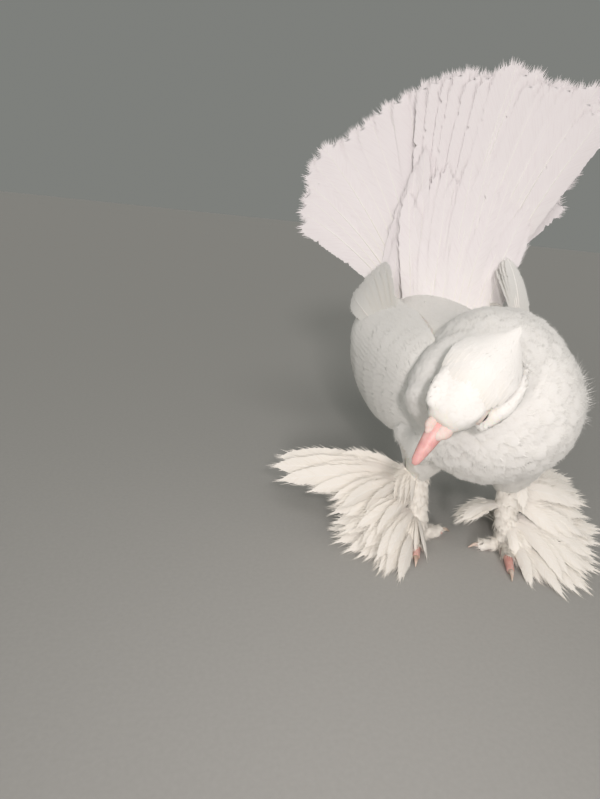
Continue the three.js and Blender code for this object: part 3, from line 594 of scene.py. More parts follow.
# %% Questions that a skin answers
class Surface:
    def __init__(self, piece):
        mesh = piece.data
        mesh.calc_loop_triangles()

        def read(items, key, size, kind):
            flat = np.empty(len(items) * size, kind)
            items.foreach_get(key, flat)
            return flat.reshape(-1, size)

        self.points = read(mesh.vertices, "co", 3, np.float32) / MM - OFFSET
        self.normals = read(mesh.vertices, "normal", 3, np.float32)
        self.triangles = read(mesh.loop_triangles, "vertices", 3, np.int32)
        loops = read(mesh.loop_triangles, "loops", 3, np.int32)
        self.uv = read(mesh.uv_layers["OFBake"].data, "uv", 2, np.float32)[loops].mean(1)
        self.tree = BVHTree.FromPolygons(self.points.tolist(), self.triangles.tolist())
        self.corners = self.points[self.triangles]
        a, b, c = (self.corners[:, i] for i in range(3))
        self.areas = np.linalg.norm(np.cross(b - a, c - a), axis=1)

    def nearest(self, points):
        """Nearest places on the surface, the way out there, and their triangles."""
        flat = np.asarray(points, float).reshape(-1, 3)
        places, index = np.empty_like(flat), np.empty(len(flat), int)
        for i, p in enumerate(flat):
            places[i], _, index[i], _ = self.tree.find_nearest(p)
        shape = np.shape(points)
        return places.reshape(shape), self.out(index).reshape(shape), index.reshape(shape[:-1])

    def out(self, index):
        return unit(self.normals[self.triangles[index]].mean(1))

    def unwrapped(self, points):
        return self.uv[self.nearest(points)[2]]

    def scatter(self, spacing, keep, tries):
        """Random places, thinned to a spacing that may change from place to place."""
        pick = random.choice(len(self.areas), tries, p=self.areas / self.areas.sum())
        u, v = random.random((2, tries))
        u, v = np.where(u + v > 1, 1 - u, u), np.where(u + v > 1, 1 - v, v)
        a, b, c = (self.corners[pick, i] for i in range(3))
        points = a + u[:, None] * (b - a) + v[:, None] * (c - a)
        good = keep(points)
        points, pick = points[good], pick[good]
        gap = spacing(points)
        cells = (points // gap.max()).astype(int)
        steps = [(i, j, k) for i in (-1, 0, 1) for j in (-1, 0, 1) for k in (-1, 0, 1)]
        grid, chosen = {}, []
        for i, (x, y, z) in enumerate(cells.tolist()):
            close = [n for s in steps for n in grid.get((x + s[0], y + s[1], z + s[2]), ())]
            if close and np.min(np.sum((points[close] - points[i]) ** 2, 1)) < gap[i] ** 2:
                continue
            grid.setdefault((x, y, z), []).append(i)
            chosen.append(i)
        return points[chosen], self.out(pick[chosen]), self.uv[pick[chosen]]


body = Surface(skin)
print("skin triangles:", len(body.triangles))

# %% [markdown]
# Feathers of one kind are many copies of one pattern, never quite alike. Each is a thin
# sheet: rows of points along its shaft and columns across it. Its outline narrows at the
# root, is broad past the middle and rounded at the tip. The outermost points go in and out
# by turns, as barbs do where they come apart.


# %% The pattern of one feather
def grid_faces(rows, columns):
    i, j = np.meshgrid(np.arange(rows - 1), np.arange(columns - 1), indexing="ij")
    a = (i * columns + j).ravel()
    return np.stack([a, a + 1, a + columns + 1, a + columns], -1)


print("quads in a sheet of 7 rows and 5 columns:", len(grid_faces(7, 5)))

# %% [markdown]
# Thousands of feathers as thousands of objects would be slow. They are collected instead
# and made into a few meshes, each kept below a limit of quads. Every point also carries its
# place on its own feather, which the streaks of the finish are worked out from.


# %% A coat that collects feathers
MOST_QUADS = 95000


class Coat:
    """Collects feathers until they are made into meshes of a limited size."""

    def __init__(self, name, material, slot, limit=MOST_QUADS):
        self.name, self.material, self.slot, self.limit = name, material, slot, limit
        self.parts = []

    def add(self, grids, places, tone, start=0.0):
        """grids: feathers x rows x columns x 3. places: a point of the unwrap for each."""
        n, rows, columns = grids.shape[:3]
        middle = grids[:, :, columns // 2]
        run = np.zeros((n, rows))
        run[:, 1:] = np.cumsum(np.linalg.norm(np.diff(middle, axis=1), axis=-1), 1)
        wide = np.linalg.norm(grids - middle[:, :, None], axis=-1)
        sign = np.sign(np.linspace(-1, 1, columns))
        share = start + (1 - start) * np.linspace(0, 1, rows)
        along = np.broadcast_to(share[None, :, None], wide.shape)
        across = np.broadcast_to(np.linspace(-0.5, 0.5, columns)[None, None], wide.shape)
        values = {
            "along": along,
            "along_mm": np.broadcast_to(run[:, :, None], wide.shape),
            "across_mm": wide * sign,
            "tone": np.broadcast_to(tone[:, None, None], wide.shape),
        }
        uv = places[:, None, None] + np.stack([across, along], -1) * 0.003
        self.parts.append((grids, uv, values))

    def make(self, stands_for=()):
        """Makes one piece, or more than one where the limit asks for it."""
        blocks = []
        for grids, uv, values in self.parts:
            n, rows, columns = grids.shape[:3]
            cells = (rows - 1) * (columns - 1)
            step = max(1, self.limit // (2 * cells))
            for first in range(0, n, step):
                part = slice(first, min(first + step, n))
                quads = cells * (part.stop - part.start)
                kept = {k: v[part] for k, v in values.items()}
                blocks.append((quads, grids[part], uv[part], kept))
        groups, held = [[]], 0
        for block in blocks:
            if held + block[0] > self.limit:
                groups.append([])
                held = 0
            groups[-1].append(block)
            held += block[0]
        for number, group in enumerate(groups):
            faces, base = [], 0
            for _, grids, _, _ in group:
                n, rows, columns = grids.shape[:3]
                moved = (np.arange(n) * rows * columns)[:, None, None] + base
                faces.append((grid_faces(rows, columns)[None] + moved).reshape(-1, 4))
                base += n * rows * columns
            make_piece(
                self.name if len(groups) == 1 else f"{self.name}_{number + 1}",
                np.concatenate([g.reshape(-1, 3) for _, g, _, _ in group]),
                np.concatenate(faces),
                self.material,
                stands_for,
                np.concatenate([u.reshape(-1, 2) for _, _, u, _ in group]),
                {k: np.concatenate([v[k].ravel() for _, _, _, v in group]) for k in group[0][3]},
            )


print("most quads in one piece of a coat:", MOST_QUADS)

# %% [markdown]
# Where barbs come apart, a feather's edge is soft. Short slim strips grow from the outline
# of each sheet, pointing away from the shaft and bent a little, each to its own length.


# %% Loose barbs
BARB_ROWS = 2  # rows of points in a short barb; a long one takes more, so that it can bend


def fringe(grids, first_row, count, length, width, back, lift=0.08, rows=BARB_ROWS):
    """Loose barbs along the end of each feather: slim strips that taper to a point."""
    n, total, columns = grids.shape[:3]
    shaft = grids[:, :, columns // 2]
    up = [(r, 0) for r in range(first_row, total)]
    end = [(total - 1, c) for c in range(1, columns - 1)]
    down = [(r, columns - 1) for r in range(total - 1, first_row - 1, -1)]
    path = np.array(up + end + down)
    outline = grids[:, path[:, 0], path[:, 1]]
    origin = shaft[:, np.maximum(path[:, 0] - back, 0)]
    place = np.linspace(0, len(path) - 1.001, count) + random.uniform(-0.3, 0.3, (n, count))
    place = np.clip(place, 0, len(path) - 1.001)
    low, share = place.astype(int), (place % 1)[..., None]
    pick = np.arange(n)[:, None]
    base = outline[pick, low] * (1 - share) + outline[pick, low + 1] * share
    source = origin[pick, low] * (1 - share) + origin[pick, low + 1] * share
    way = unit(base - source)
    tangent = unit(outline[pick, low + 1] - outline[pick, low])
    out = unit(np.cross(tangent, way))
    way = unit(way + random.normal(scale=0.14, size=(n, count, 1)) * tangent)
    long = length * random.uniform(0.45, 1.25, (n, count, 1))
    bend = random.normal(scale=lift, size=(n, count, 1)) * long
    side = unit(np.cross(out, way)) * width / 2
    t = np.linspace(0, 1, rows)[None, None, :, None]
    line = base[:, :, None] - 0.35 * (1 - t) * way[:, :, None] + t * (long * way)[:, :, None]
    line = line + t**2 * (bend * out)[:, :, None]
    strips = np.stack([line - side[:, :, None] * (1.05 - t), line + side[:, :, None] * (1.05 - t)], 3)
    return strips.reshape(n * count, rows, 2, 3)


print("triangles in a short loose barb:", 2 * (BARB_ROWS - 1))

# %% [markdown]
# A small body feather lies on the skin as a roof tile lies on its batten: the root sunk in,
# the tip lifted over the next. Its points are first laid out flat and then moved to the
# nearest place on the skin, so it follows every curve.

# %% Small feathers on a skin
# Places along the feather and across it, and its half width at each place along it.
ROWS, COLUMNS = 7, 5
T_BODY = np.array([0.0, 0.22, 0.44, 0.64, 0.8, 0.92, 1.0])
S_BODY = np.array([-1.0, -0.55, 0.0, 0.55, 1.0])
W_BODY = np.array([0.4, 0.78, 0.96, 1.0, 0.92, 0.72, 0.34])


def skin_feathers(surface, roots, out, lie, length, half, rise, fray, sink=0.3, crown=0.12):
    """Feathers that lie on the skin. Size and rise may vary from one to the next."""
    n = len(roots)
    length, half, rise, fray = (np.broadcast_to(a, n)[:, None, None] for a in (length, half, rise, fray))
    side = unit(np.cross(out, lie))
    jag = fray * random.uniform(-0.4, 0.4, (n, ROWS, COLUMNS))
    jag[:, -1, 1::2] += fray[:, 0] * 0.8
    jag[:, 0] = 0
    t = T_BODY[None, :, None] * length + jag
    edge = 1 + (0.08 * random.uniform(-1, 1, (n, ROWS, COLUMNS))) * (np.abs(S_BODY) > 0.9)
    s = S_BODY[None, None] * W_BODY[None, :, None] * half * edge
    s = s + np.sin(T_BODY * 2.2)[None, :, None] * random.uniform(-0.05, 0.05, (n, 1, 1)) * length
    flat = roots[:, None, None] + t[..., None] * lie[:, None, None] + s[..., None] * side[:, None, None]
    place, up, _ = surface.nearest(flat)
    high = -sink + (rise + sink) * T_BODY[None, :, None] + crown * half / 4 * (1 - S_BODY**2)[None, None]
    high = high + 0.03 * rise * random.uniform(-1, 1, (n, 1, 1))
    return place + high[..., None] * up


print("points of one small feather:", ROWS * COLUMNS)

# %% [markdown]
# Feathers stand at an even distance from one another. Random points on the skin, thinned
# until none is closer to another than the wanted spacing, look grown rather than drawn.
# They lie away from the bill on the head and neck, back along the body, and down on the
# thighs.


# %% Which way feathers lie
def smooth_step(low, high, value):
    t = np.clip((value - low) / (high - low), 0, 1)
    return t * t * (3 - 2 * t)


BILL_ROOT = head_point(16, 0, -1)


def lie_at(points, out):
    away = unit(points - BILL_ROOT)
    back = unit(np.array([0.0, 1.0, -0.12]))
    k = smooth_step(-25, 70, points[:, 1])[:, None]
    field = away * (1 - k) + back * k
    for leg in LEGS.values():
        thigh, hock = np.array(leg["thigh"], float), np.array(leg["hock"], float)
        below = smooth_step(78, 62, points[:, 2])
        near = smooth_step(34, 20, np.linalg.norm(points[:, :2] - (thigh + hock)[:2] / 2, axis=1))
        down = unit(hock - thigh)
        field = field + (below * near)[:, None] * (down * 2.5)
    field = field + 0.06 * random.normal(size=field.shape)
    return unit(field - np.sum(field * out, -1, keepdims=True) * out)


print("root of the bill in mm:", np.round(BILL_ROOT, 1))

# %% [markdown]
# Some places carry no small feathers: the bill and cere, the rim of the eyelids, and the
# side of the body that the folded wing covers. One place at the breast is ruffled.


# %% Bare, covered and ruffled places
def head_axes(points):
    d = points - HEAD_CENTRE
    return d @ head_forward, d @ head_left, d @ head_up


def head_nearness(points):
    """1 on the face, 0 past the nape."""
    return smooth_step(46, 20, np.linalg.norm(points - HEAD_CENTRE, axis=1))


def bare_face(points):
    f, l, u = head_axes(points)
    eye = np.hypot(f - EYE["forward"], u - EYE["up"]) < 4.2
    on_head = np.abs(l) > 7
    return (f > 15.2) | (eye & on_head & (np.abs(f) < 12))


WING_GUIDE = [
    [-24, 118, 44, 30], [0, 119, 56, 37], [30, 119, 61, 40], [60, 120, 63, 41], [90, 124, 62, 38],
    [120, 124, 52, 30], [150, 121, 38, 22], [180, 116, 27, 15], [204, 111, 18, 10],
]
WING_EDGES = [[-22, 0, 14], [-8, -22, 38], [25, -40, 56], [60, -38, 60], [95, -30, 46], [120, -30, 12]]


def under_wing(points):
    y = points[:, 1]
    z = station(WING_GUIDE, y, 1)
    angle = np.degrees(np.arctan2(points[:, 2] - z, np.abs(points[:, 0] - TORSO_X)))
    low, high = station(WING_EDGES, y, 1), station(WING_EDGES, y, 2)
    return (y > -10) & (y < 116) & (angle > low + 14) & (angle < high - 14)


RUFFLED = np.array([30.0, -36.0, 127.0])
coarse = 1.0
print("stations along the wing:", len(WING_GUIDE), "and along its edges:", len(WING_EDGES))

# %% [markdown]
# Now the coat is laid. On the head the feathers are short and close, on the body long and
# soft. They stand off more where the breast is puffed, and shorten in front of the eye so
# that none covers it.

# %% Body feathers
def body_spacing(points):
    near = head_nearness(points)
    low = smooth_step(70, 50, points[:, 2])
    return (2.7 - 1.35 * near - 0.4 * low) * coarse


body_roots, body_out, body_uv = body.scatter(
    body_spacing, lambda p: ~bare_face(p) & ~under_wing(p), int(130000 / coarse**2)
)
body_lie = lie_at(body_roots, body_out)
near = head_nearness(body_roots)
low = smooth_step(70, 50, body_roots[:, 2])
body_length = (14.0 - 8.4 * near - 3.0 * low) * random.uniform(0.88, 1.12, len(near)) * coarse
body_half = (3.9 - 2.3 * near - 0.7 * low) * random.uniform(0.9, 1.1, len(near)) * coarse
ruffle = smooth_step(20, 6, np.linalg.norm(body_roots - RUFFLED, axis=1))
puffed = smooth_step(10, -10, body_roots[:, 1]) * (1 - near)
body_rise = 1.25 - 0.65 * near + 1.0 * ruffle + 1.3 * puffed * random.random(len(near)) ** 2
f, l, u = head_axes(body_roots)
to_lid = np.hypot(f - EYE["forward"], u - EYE["up"]) - 3.7
before_eye = (f > EYE["forward"] + 1) & (np.abs(l) > 7) & (near > 0.5)
body_length = np.where(before_eye, np.clip(body_length, 1.2, np.maximum(to_lid, 1.2)), body_length)
body_fray = 0.9 - 0.6 * near
body_tone = random.random(len(near))
body_grids = skin_feathers(
    body, body_roots, body_out, body_lie, body_length, body_half, body_rise, body_fray
)
coat = Coat("body_feathers", body_feather, "plumage")
coat.add(body_grids, body_uv, body_tone)
on_body = near < 0.5
for part, size, count in ((on_body, 3.4, 13), (~on_body, 0.9, 9)):
    loose = fringe(body_grids[part], 4, count, size, 0.12 + size * 0.07, 2)
    coat.add(loose, np.repeat(body_uv[part], count, 0), np.repeat(body_tone[part], count), 0.9)
ruffled = ruffle > 0.2
loose = fringe(body_grids[ruffled], 2, 14, 7.5, 0.3, 2, 0.3, 3)
coat.add(loose, np.repeat(body_uv[ruffled], 14, 0), np.repeat(body_tone[ruffled], 14), 0.9)
coat.make()
print("body and head feathers:", len(body_roots))

# %% [markdown]
# Long feathers need a shaft. Each follows a curved line, is a little hollow on its under
# side, and its barbs run out to both edges, where some part and leave small notches. The
# shaft is a thin tapering ridge along the middle, paler than the vane.


# %% A long feather along a line
def shaped(table, t):
    return station(table, t, 1)


VANE = [[0, 0.3], [0.15, 0.62], [0.45, 0.95], [0.7, 1.0], [0.88, 0.86], [0.96, 0.6], [1, 0.22]]


def long_feather(line, facing, half, roll=0.0, crown=0.6, columns=9, fray=0.8, shape=VANE, splits=3):
    """Grid of one long feather and grid of its shaft. line: rows of points."""
    rows = len(line)
    t = np.linspace(0, 1, rows)
    along = unit(np.gradient(line, axis=0))
    across = unit(np.cross(along, np.broadcast_to(facing, line.shape)))
    roll = np.broadcast_to(roll, rows)[:, None]
    across = across * np.cos(roll) + np.cross(along, across) * np.sin(roll)
    out = unit(np.cross(across, along))
    s = np.linspace(-1, 1, columns)
    wide = shaped(shape, t)[:, None] * half
    length = np.linalg.norm(np.diff(line, axis=0), axis=1).sum()
    reach = np.zeros((rows, columns))
    edge = np.ones((rows, columns))
    rim = np.abs(s) > 0.99
    edge[:, rim] += random.uniform(-0.5, 0.5, (rows, 2)) * fray / half
    edge[1::2, rim] += 0.5 * fray / half
    slide = random.uniform(-0.4, 0.4, (rows, 2)) * fray
    reach[:, rim] = slide
    reach[-1, 1::2] = fray * random.uniform(0.6, 2.2, len(reach[-1, 1::2]))
    reach[-2] += 0.5 * reach[-1]
    for _ in range(splits):
        row = random.integers(int(rows * 0.45), rows - 3)
        way = random.choice([-1, 1])
        depth = random.uniform(0.35, 0.85)
        cut = np.clip((np.abs(s) - depth) / (1 - depth + 1e-6), 0, 1) * (np.sign(s) == way)
        reach[row] += cut * length / rows * 0.8
        reach[row + 1] += cut * length / rows * 0.8
        edge[row] -= cut * 0.12
    barb = 0.28 * np.abs(s)[None] * wide
    grid = (
        line[:, None]
        + (s[None] * wide * edge)[..., None] * across[:, None]
        + (reach + barb * (t[:, None] < 0.97))[..., None] * along[:, None]
        + (crown * shaped(shape, t)[:, None] * (1 - s[None] ** 2))[..., None] * out[:, None]
    )
    thick = np.interp(t, [0, 1], [0.09, 0.02])[:, None] * half
    shaft_s = np.array([-1.0, 0.0, 1.0])
    lift = np.array([0.05, 1.0, 0.05])
    shaft = (
        line[:, None]
        + (shaft_s[None] * thick * 0.7)[..., None] * across[:, None]
        + (crown * shaped(shape, t)[:, None] + lift[None] * thick * 0.9)[..., None] * out[:, None]
    )
    return grid, shaft


print("stations of a vane's outline:", len(VANE))

# %% [markdown]
# A set keeps vanes and shafts apart, so that each gets its own finish. Feathers with the
# same number of points are worked out together, which is far quicker than one by one.


# %% A set of long feathers
class FeatherSet:
    """Long feathers, their loose barbs and their shafts."""

    def __init__(self, name, material, shaft_material, slot, barbs):
        self.vanes = Coat(name, material, slot)
        self.shafts = Coat(name + "_shafts", shaft_material, slot)
        self.barbs = barbs

    def add(self, feathers):
        by_size = {}
        for grid, shaft in feathers:
            by_size.setdefault((grid.shape, shaft.shape), []).append((grid, shaft))
        for group in by_size.values():
            grids, shafts = (np.stack(g) for g in zip(*group))
            n, rows, columns = grids.shape[:3]
            places = body.unwrapped(grids[:, 0, columns // 2])
            places = places + random.uniform(-0.012, 0.012, places.shape)
            tone = random.random(n)
            self.vanes.add(grids, places, tone)
            self.shafts.add(shafts, places, tone)
            share, count, length, width, back, lift = self.barbs
            loose = fringe(
                grids, int(rows * (1 - share)), count, length, width, max(1, int(rows * back)), lift, 4
            )
            self.vanes.add(loose, np.repeat(places, count, 0), np.repeat(tone, count), 0.97)

    def make(self, stands_for=()):
        self.vanes.make(stands_for)
        self.shafts.make()


# The shaft's root colour is darker than its tip: painted shade under the feathers that cover it.
shaft_keratin = feather_material("pale_shaft_keratin", "#FCFAF6", "#F2ECE4", "#F4EEE6", 0.05)
print("shaft finish made")

# %% [markdown]
# The tail is the fan that gives the breed its name. Its feathers spring from a short arc at
# the rump and spread like the ribs of a hand fan, in a rear tier that leans to one side and
# a front tier that stands upright. Each is turned about its shaft like the slat of a blind,
# so that every edge passes over the next.

# %% Shape of the fan
TAIL_ROOT = np.array([6.0, 120.0, 136.0])
turn, lean = math.radians(-15), math.radians(3)
tail_across = np.array([math.cos(turn), math.sin(turn), 0.0])
tail_front_way = np.array([math.sin(turn), -math.cos(turn), 0.0])
tail_up = np.array([0, 0, math.cos(lean)]) - tail_front_way * math.sin(lean)
REAR_FAN = {
    "count": 20, "angles": [-59, 36], "roots": [-17, 10], "front": 0, "start": 6, "half": 12.5,
    "reach": [112, 124, 138, 142, 146, 156, 166, 172, 176, 176, 158, 118],
}
FRONT_FAN = {
    "count": 16, "angles": [-3, 22], "roots": [-17, 30], "front": 13, "edge": 0.42, "start": 18, "half": 11.5,
    "reach": [163, 166, 170, 171, 177, 172, 175, 174, 172, 160],
}
COVERT_TIERS = [
    {"count": 24, "angles": [-10, 18], "roots": [-17, 36], "front": 1.0, "rise": 8, "start": 4, "half": 7.5,
     "reach": [84, 100, 112, 104, 80]},
    {"count": 24, "angles": [-9, 17], "roots": [-18, 37], "front": 1.6, "rise": 11, "start": -2, "half": 7.0,
     "reach": [60, 80, 92, 84, 60]},
    {"count": 22, "angles": [-8, 16], "roots": [-18, 38], "front": 2.2, "rise": 13, "start": -8, "half": 6.5,
     "reach": [40, 58, 70, 62, 42]},
    {"count": 14, "angles": [-34, 34], "roots": [-12, 12], "front": -7, "rise": 0, "start": -4, "half": 7.5,
     "reach": [60, 78, 84, 78, 60]},
]
COVERT_VANE = [[0, 0.4], [0.2, 0.7], [0.5, 1.0], [0.72, 0.95], [0.86, 0.72], [0.95, 0.42], [1, 0.12]]
TAIL_VANE = [[0, 0.24], [0.2, 0.5], [0.45, 0.76], [0.75, 1.0], [0.9, 0.98], [0.965, 0.8], [1, 0.34]]


def tail_point(root, degrees, reach, front):
    share = reach / 170
    angle = np.radians(degrees) * (1 - 0.3 * (1 - share))
    dish = np.where(np.asarray(degrees) > 0, 14.0, -20.0) * share**2 * np.abs(np.sin(angle))
    return (
        TAIL_ROOT
        + (root + np.sin(angle) * reach)[..., None] * tail_across
        + (np.cos(angle) * reach)[..., None] * tail_up
        + (dish + front)[..., None] * tail_front_way
    )


print("feathers in the rear tier:", REAR_FAN["count"], "and in the front tier:", FRONT_FAN["count"])

# %% [markdown]
# Every feather of a tier takes its direction, root and reach from where it stands in the
# row, with a little chance in each, since no fan is quite even.


# %% The feathers of one tier
def fan_feathers(tier, rows, columns, fray, jitter, crown, shape=TAIL_VANE):
    made = []
    last = tier["count"] - 1
    table = np.c_[np.linspace(0, 1, len(tier["reach"])), tier["reach"]]
    turn_step = math.radians(tier["angles"][1] - tier["angles"][0]) / last
    root_step = (tier["roots"][1] - tier["roots"][0]) / last
    for i in range(tier["count"]):
        share = i / last
        uneven = 0.02 if tier["half"] > 8 else 0.09
        reach = float(station(table, share, 1)) * random.uniform(1 - uneven, 1 + uneven)
        degrees = np.interp(share, [0, 1], tier["angles"]) + jitter * random.uniform(-1, 1)
        root = np.interp(share, [0, 1], tier["roots"])
        r = np.linspace(tier["start"], reach, rows)
        if tier.get("rise"):
            front = FRONT_FAN["front"] * (0.5 + 0.5 * r / 170) + tier["front"]
            front = front + tier["rise"] * (1 - r / reach) ** 1.5 + 0.3 * random.uniform(-1, 1)
        else:
            front = tier["front"] * (0.5 + 0.5 * r / reach) + 0.3 * random.uniform(-1, 1)
            front = front * np.interp(share, [0, 0.35], [tier.get("edge", 1), 1])
        bow = random.uniform(-1.5, 1.5) * np.sin(np.linspace(0, np.pi, rows)) * (reach / 170)
        line = tail_point(np.full(rows, root) + bow, degrees, r, front)
        step = 0.3 if tier["half"] > 8 else 0.1
        roll = np.arctan(step / (turn_step * np.maximum(r, 5) + root_step))
        made.append(
            long_feather(line, tail_front_way, tier["half"], roll, crown, columns, fray, shape, splits=4)
        )
    return made


print("longest reach in the rear tier:", max(REAR_FAN["reach"]), "mm")

# %% [markdown]
# Between the two tiers the fan would be open at its side. A few feathers turn back there
# and close it.

# %% The side of the fan
# Place at the root and at the tip, reach and distance forward of each side feather.
SIDE_WALL = [
    [-19, -25, 118, 13.0], [-23, -27, 112, 11.5], [-27, -30, 104, 10.0],
    [-31, -32, 94, 8.0], [-35, -35, 82, 6.0], [-38, -37, 68, 4.5],
    [-22, -26, 80, 15.0], [-28, -29, 70, 13.0], [-34, -33, 58, 10.0],
]


def side_wall():
    """Feathers at the left edge of the front fan that turn back towards the rear fan."""
    made = []
    for root, top, reach, depth in SIDE_WALL:
        t = np.linspace(0, 1, 60)
        r = 2 + (reach - 2) * t
        across = root + (top - root) * t**1.4
        line = tail_point(across, 0.0, r, depth * (0.5 + 0.5 * r / 170))
        made.append(long_feather(line, tail_front_way, 6.0, -0.35, 0.4, 11, 0.6, COVERT_VANE, splits=1))
    return made


print("feathers at the side:", len(SIDE_WALL))

# %% [markdown]
# The tiers are made one behind the other, and short coverts hide their roots.

# %% Tail feathers and coverts
# Loose barbs of a set: share of the feather that has them, how many, how long and how wide
# in mm, how far back towards the root the point lies that they run from, and their bend.
TAIL_BARBS = (0.14, 110, 4.2, 0.5, 0.11, 0.1)
COVERT_BARBS = (0.5, 90, 5.5, 0.35, 0.25, 0.04)
rear = FeatherSet("tail_rear_feathers", tail_feather, shaft_keratin, "tail_feathers", TAIL_BARBS)
rear.add(fan_feathers(REAR_FAN, 90, 13, 0.8, 0.8, 0.7))
rear.add(side_wall())
rear.make(["tail_rear"])
front = FeatherSet("tail_front_feathers", tail_feather, shaft_keratin, "tail_feathers", TAIL_BARBS)
front.add(fan_feathers(FRONT_FAN, 90, 13, 0.8, 0.6, 0.7))
front.make(["tail_front"])
coverts = FeatherSet("tail_coverts", tail_feather, shaft_keratin, "plumage", COVERT_BARBS)
for tier in COVERT_TIERS:
    coverts.add(fan_feathers(tier, 40, 9, 0.6, 1.5, 0.25, COVERT_VANE))
coverts.make()

# %% [markdown]
# The folded wings lie on the body like a half shell. A guide surface of a few cross
# sections gives their bulge, and the feathers lie on it in rows as on a real wing: small
# coverts on the shoulder, larger ones behind, then the flight feathers, whose tips draw
# together behind the rump.


# %% Shape of the folded wing
def wing_point(side, y, degrees, lift):
    y, degrees, lift = np.broadcast_arrays(np.asarray(y, float), degrees, lift)
    z, half, high = (station(WING_GUIDE, y, c) for c in (1, 2, 3))
    angle = np.radians(degrees)
    power = 2 / 2.5
    across = np.abs(np.cos(angle)) ** power * (half + lift)
    tall = np.where(angle > 0, high, -high * 1.4)
    up = np.abs(np.sin(angle)) ** power * (tall + np.sign(angle) * lift)
    return np.stack([TORSO_X + side * across, y, z + up], -1)


print("a point on the left shoulder in mm:", np.round(wing_point(1, 0.0, 0.0, 0.0), 1))

# %% [markdown]
# The rows of feathers stand in a table, from the small coverts of the shoulder to the long
# flight feathers. Each row has more points along a feather the longer it is.

# %% Rows of wing feathers
# count, root, tips low and high, low edge at root and tip, high edge, half width, lift
WING_ROWS = [
    [20, -20, 4, 4, -12, -24, 24, 37, 3.6, -3.4, -0.9],
    [22, -15, 14, 14, -18, -30, 32, 42, 4.0, -3.0, -0.8],
    [24, -8, 26, 26, -24, -34, 38, 48, 4.4, -2.6, -0.7],
    [24, 2, 40, 40, -30, -36, 44, 51, 4.8, -2.4, -0.6],
    [24, 12, 56, 56, -33, -36, 48, 53, 5.2, -2.2, -0.5],
    [22, 22, 76, 76, -34, -36, 50, 54, 5.8, -2.2, -0.4],
    [20, 34, 100, 94, -34, -34, 50, 50, 6.6, -2.2, -0.3],
    [17, 48, 130, 112, -32, -28, 50, 38, 7.6, -2.6, -0.3],
    [12, 80, 206, 140, -26, -20, 24, -2, 7.4, -3.6, -1.0],
]


def wing_feathers(side, row, stagger):
    count, root, tip_low, tip_high, low0, low1, high0, high1, half, lift0, lift1 = row
    made = []
    long = max(tip_low, tip_high) - root
    rows = int(np.clip(long * 0.5, 14, 60))
    t = np.linspace(0, 1, rows)
    for i in range(count):
        share = (i + stagger) / count
        end = np.interp(share, [0, 1], [tip_low, tip_high]) + 1.2 * random.uniform(-1, 1)
        a = np.interp(share, [0, 1], [low0, high0]) + random.uniform(-0.6, 0.6)
        b = np.interp(share, [0, 1], [low1, high1]) + random.uniform(-0.6, 0.6)
        y, degrees = root + (end - root) * t, a + (b - a) * t
        line = wing_point(side, y, degrees, lift0 + (lift1 - lift0) * t)
        outer = wing_point(side, y, degrees, 6.0)
        next_line = wing_point(side, y, degrees + (high1 - low1) / count, 0.0)
        spacing = np.linalg.norm(next_line - line, axis=1) + 1e-3
        roll = -side * np.arctan(0.16 / spacing)
        facing = unit(outer - line)
        made.append(long_feather(line, facing, half, roll, 0.1, 9, 0.4, COVERT_VANE, splits=0))
    return made


print("rows of wing feathers:", len(WING_ROWS))

# %% [markdown]
# The innermost feathers of each wing are loose. They rise over the back before the fan, and
# each is drawn as a bow from its root to a tip that is given in the table.

# %% Innermost wing feathers
TERTIALS = {
    1: {
        "root": [58, 46], "facing": [0.3, -0.9, 0.3],
        "tips": [
            [43, 99, 180], [45, 99, 184], [46, 99, 187], [48, 98, 188],
            [50, 97, 185], [52, 95, 179], [54, 92, 171],
        ],
    },
    -1: {
        "root": [58, 42], "facing": [-1, -0.3, 0.2],
        "tips": [
            [-44, 110, 175], [-47, 110, 172], [-50, 111, 169],
            [-54, 112, 164], [-57, 113, 158], [-61, 113, 152],
        ],
    },
}


def tertial_feathers(side, spec):
    made = []
    tips = np.array(spec["tips"], float)
    for i, tip in enumerate(tips):
        start = wing_point(side, spec["root"][0] + 1.5 * i, spec["root"][1] - 3.4 * i, -5.0)
        bend = (start + tip) / 2 + np.array([side * (3 + 0.8 * i), 0, 4.0])
        t = np.linspace(0, 1, 50)[:, None]
        line = (1 - t) ** 2 * start + 2 * t * (1 - t) * bend + t**2 * tip
        facing = unit(spec["facing"])
        made.append(long_feather(line, facing, 8.2, 0.0, 0.2, 11, 0.6, COVERT_VANE, splits=1))
    return made


print("loose feathers on the left:", len(TERTIALS[1]["tips"]), "and right:", len(TERTIALS[-1]["tips"]))

# %% [markdown]
# Under all rows lies a thin closed sheet, as the skin and bones of a wing do.

# %% Wings
WING_BARBS = (0.45, 40, 2.8, 0.3, 0.25, 0.02)


def wing_core(side):
    """Thin closed sheet under the wing feathers, so that no gap between them is open."""
    y = np.linspace(-21, 106, 26)
    share = np.linspace(0, 1, 18)
    rings = []
    for place in y:
        low, high = station(WING_EDGES, place, 1), station(WING_EDGES, place, 2)
        angle = low + (high - low) * share
        outer = wing_point(side, place, angle, -4.4)
        inner = wing_point(side, place, angle[::-1], -11.0)
        rings.append(np.concatenate([outer, inner]))
    return closed_loft(np.array(rings))


for name, side in (("wing_left", 1), ("wing_right", -1)):
    points, faces = wing_core(side)
    make_piece(name + "_core", points, faces, bare_skin, [name])
    wing = FeatherSet(name + "_feathers", body_feather, shaft_keratin, "plumage", WING_BARBS)
    for i, row in enumerate(WING_ROWS):
        wing.add(wing_feathers(side, row, 0.25 if i % 2 else 0.75))
    wing.add(tertial_feathers(side, TERTIALS[side]))
    wing.make([name])

# %% [markdown]
# The peak crest stands up from the back of the head: narrow feathers that draw together
# to a point, longest in the middle.

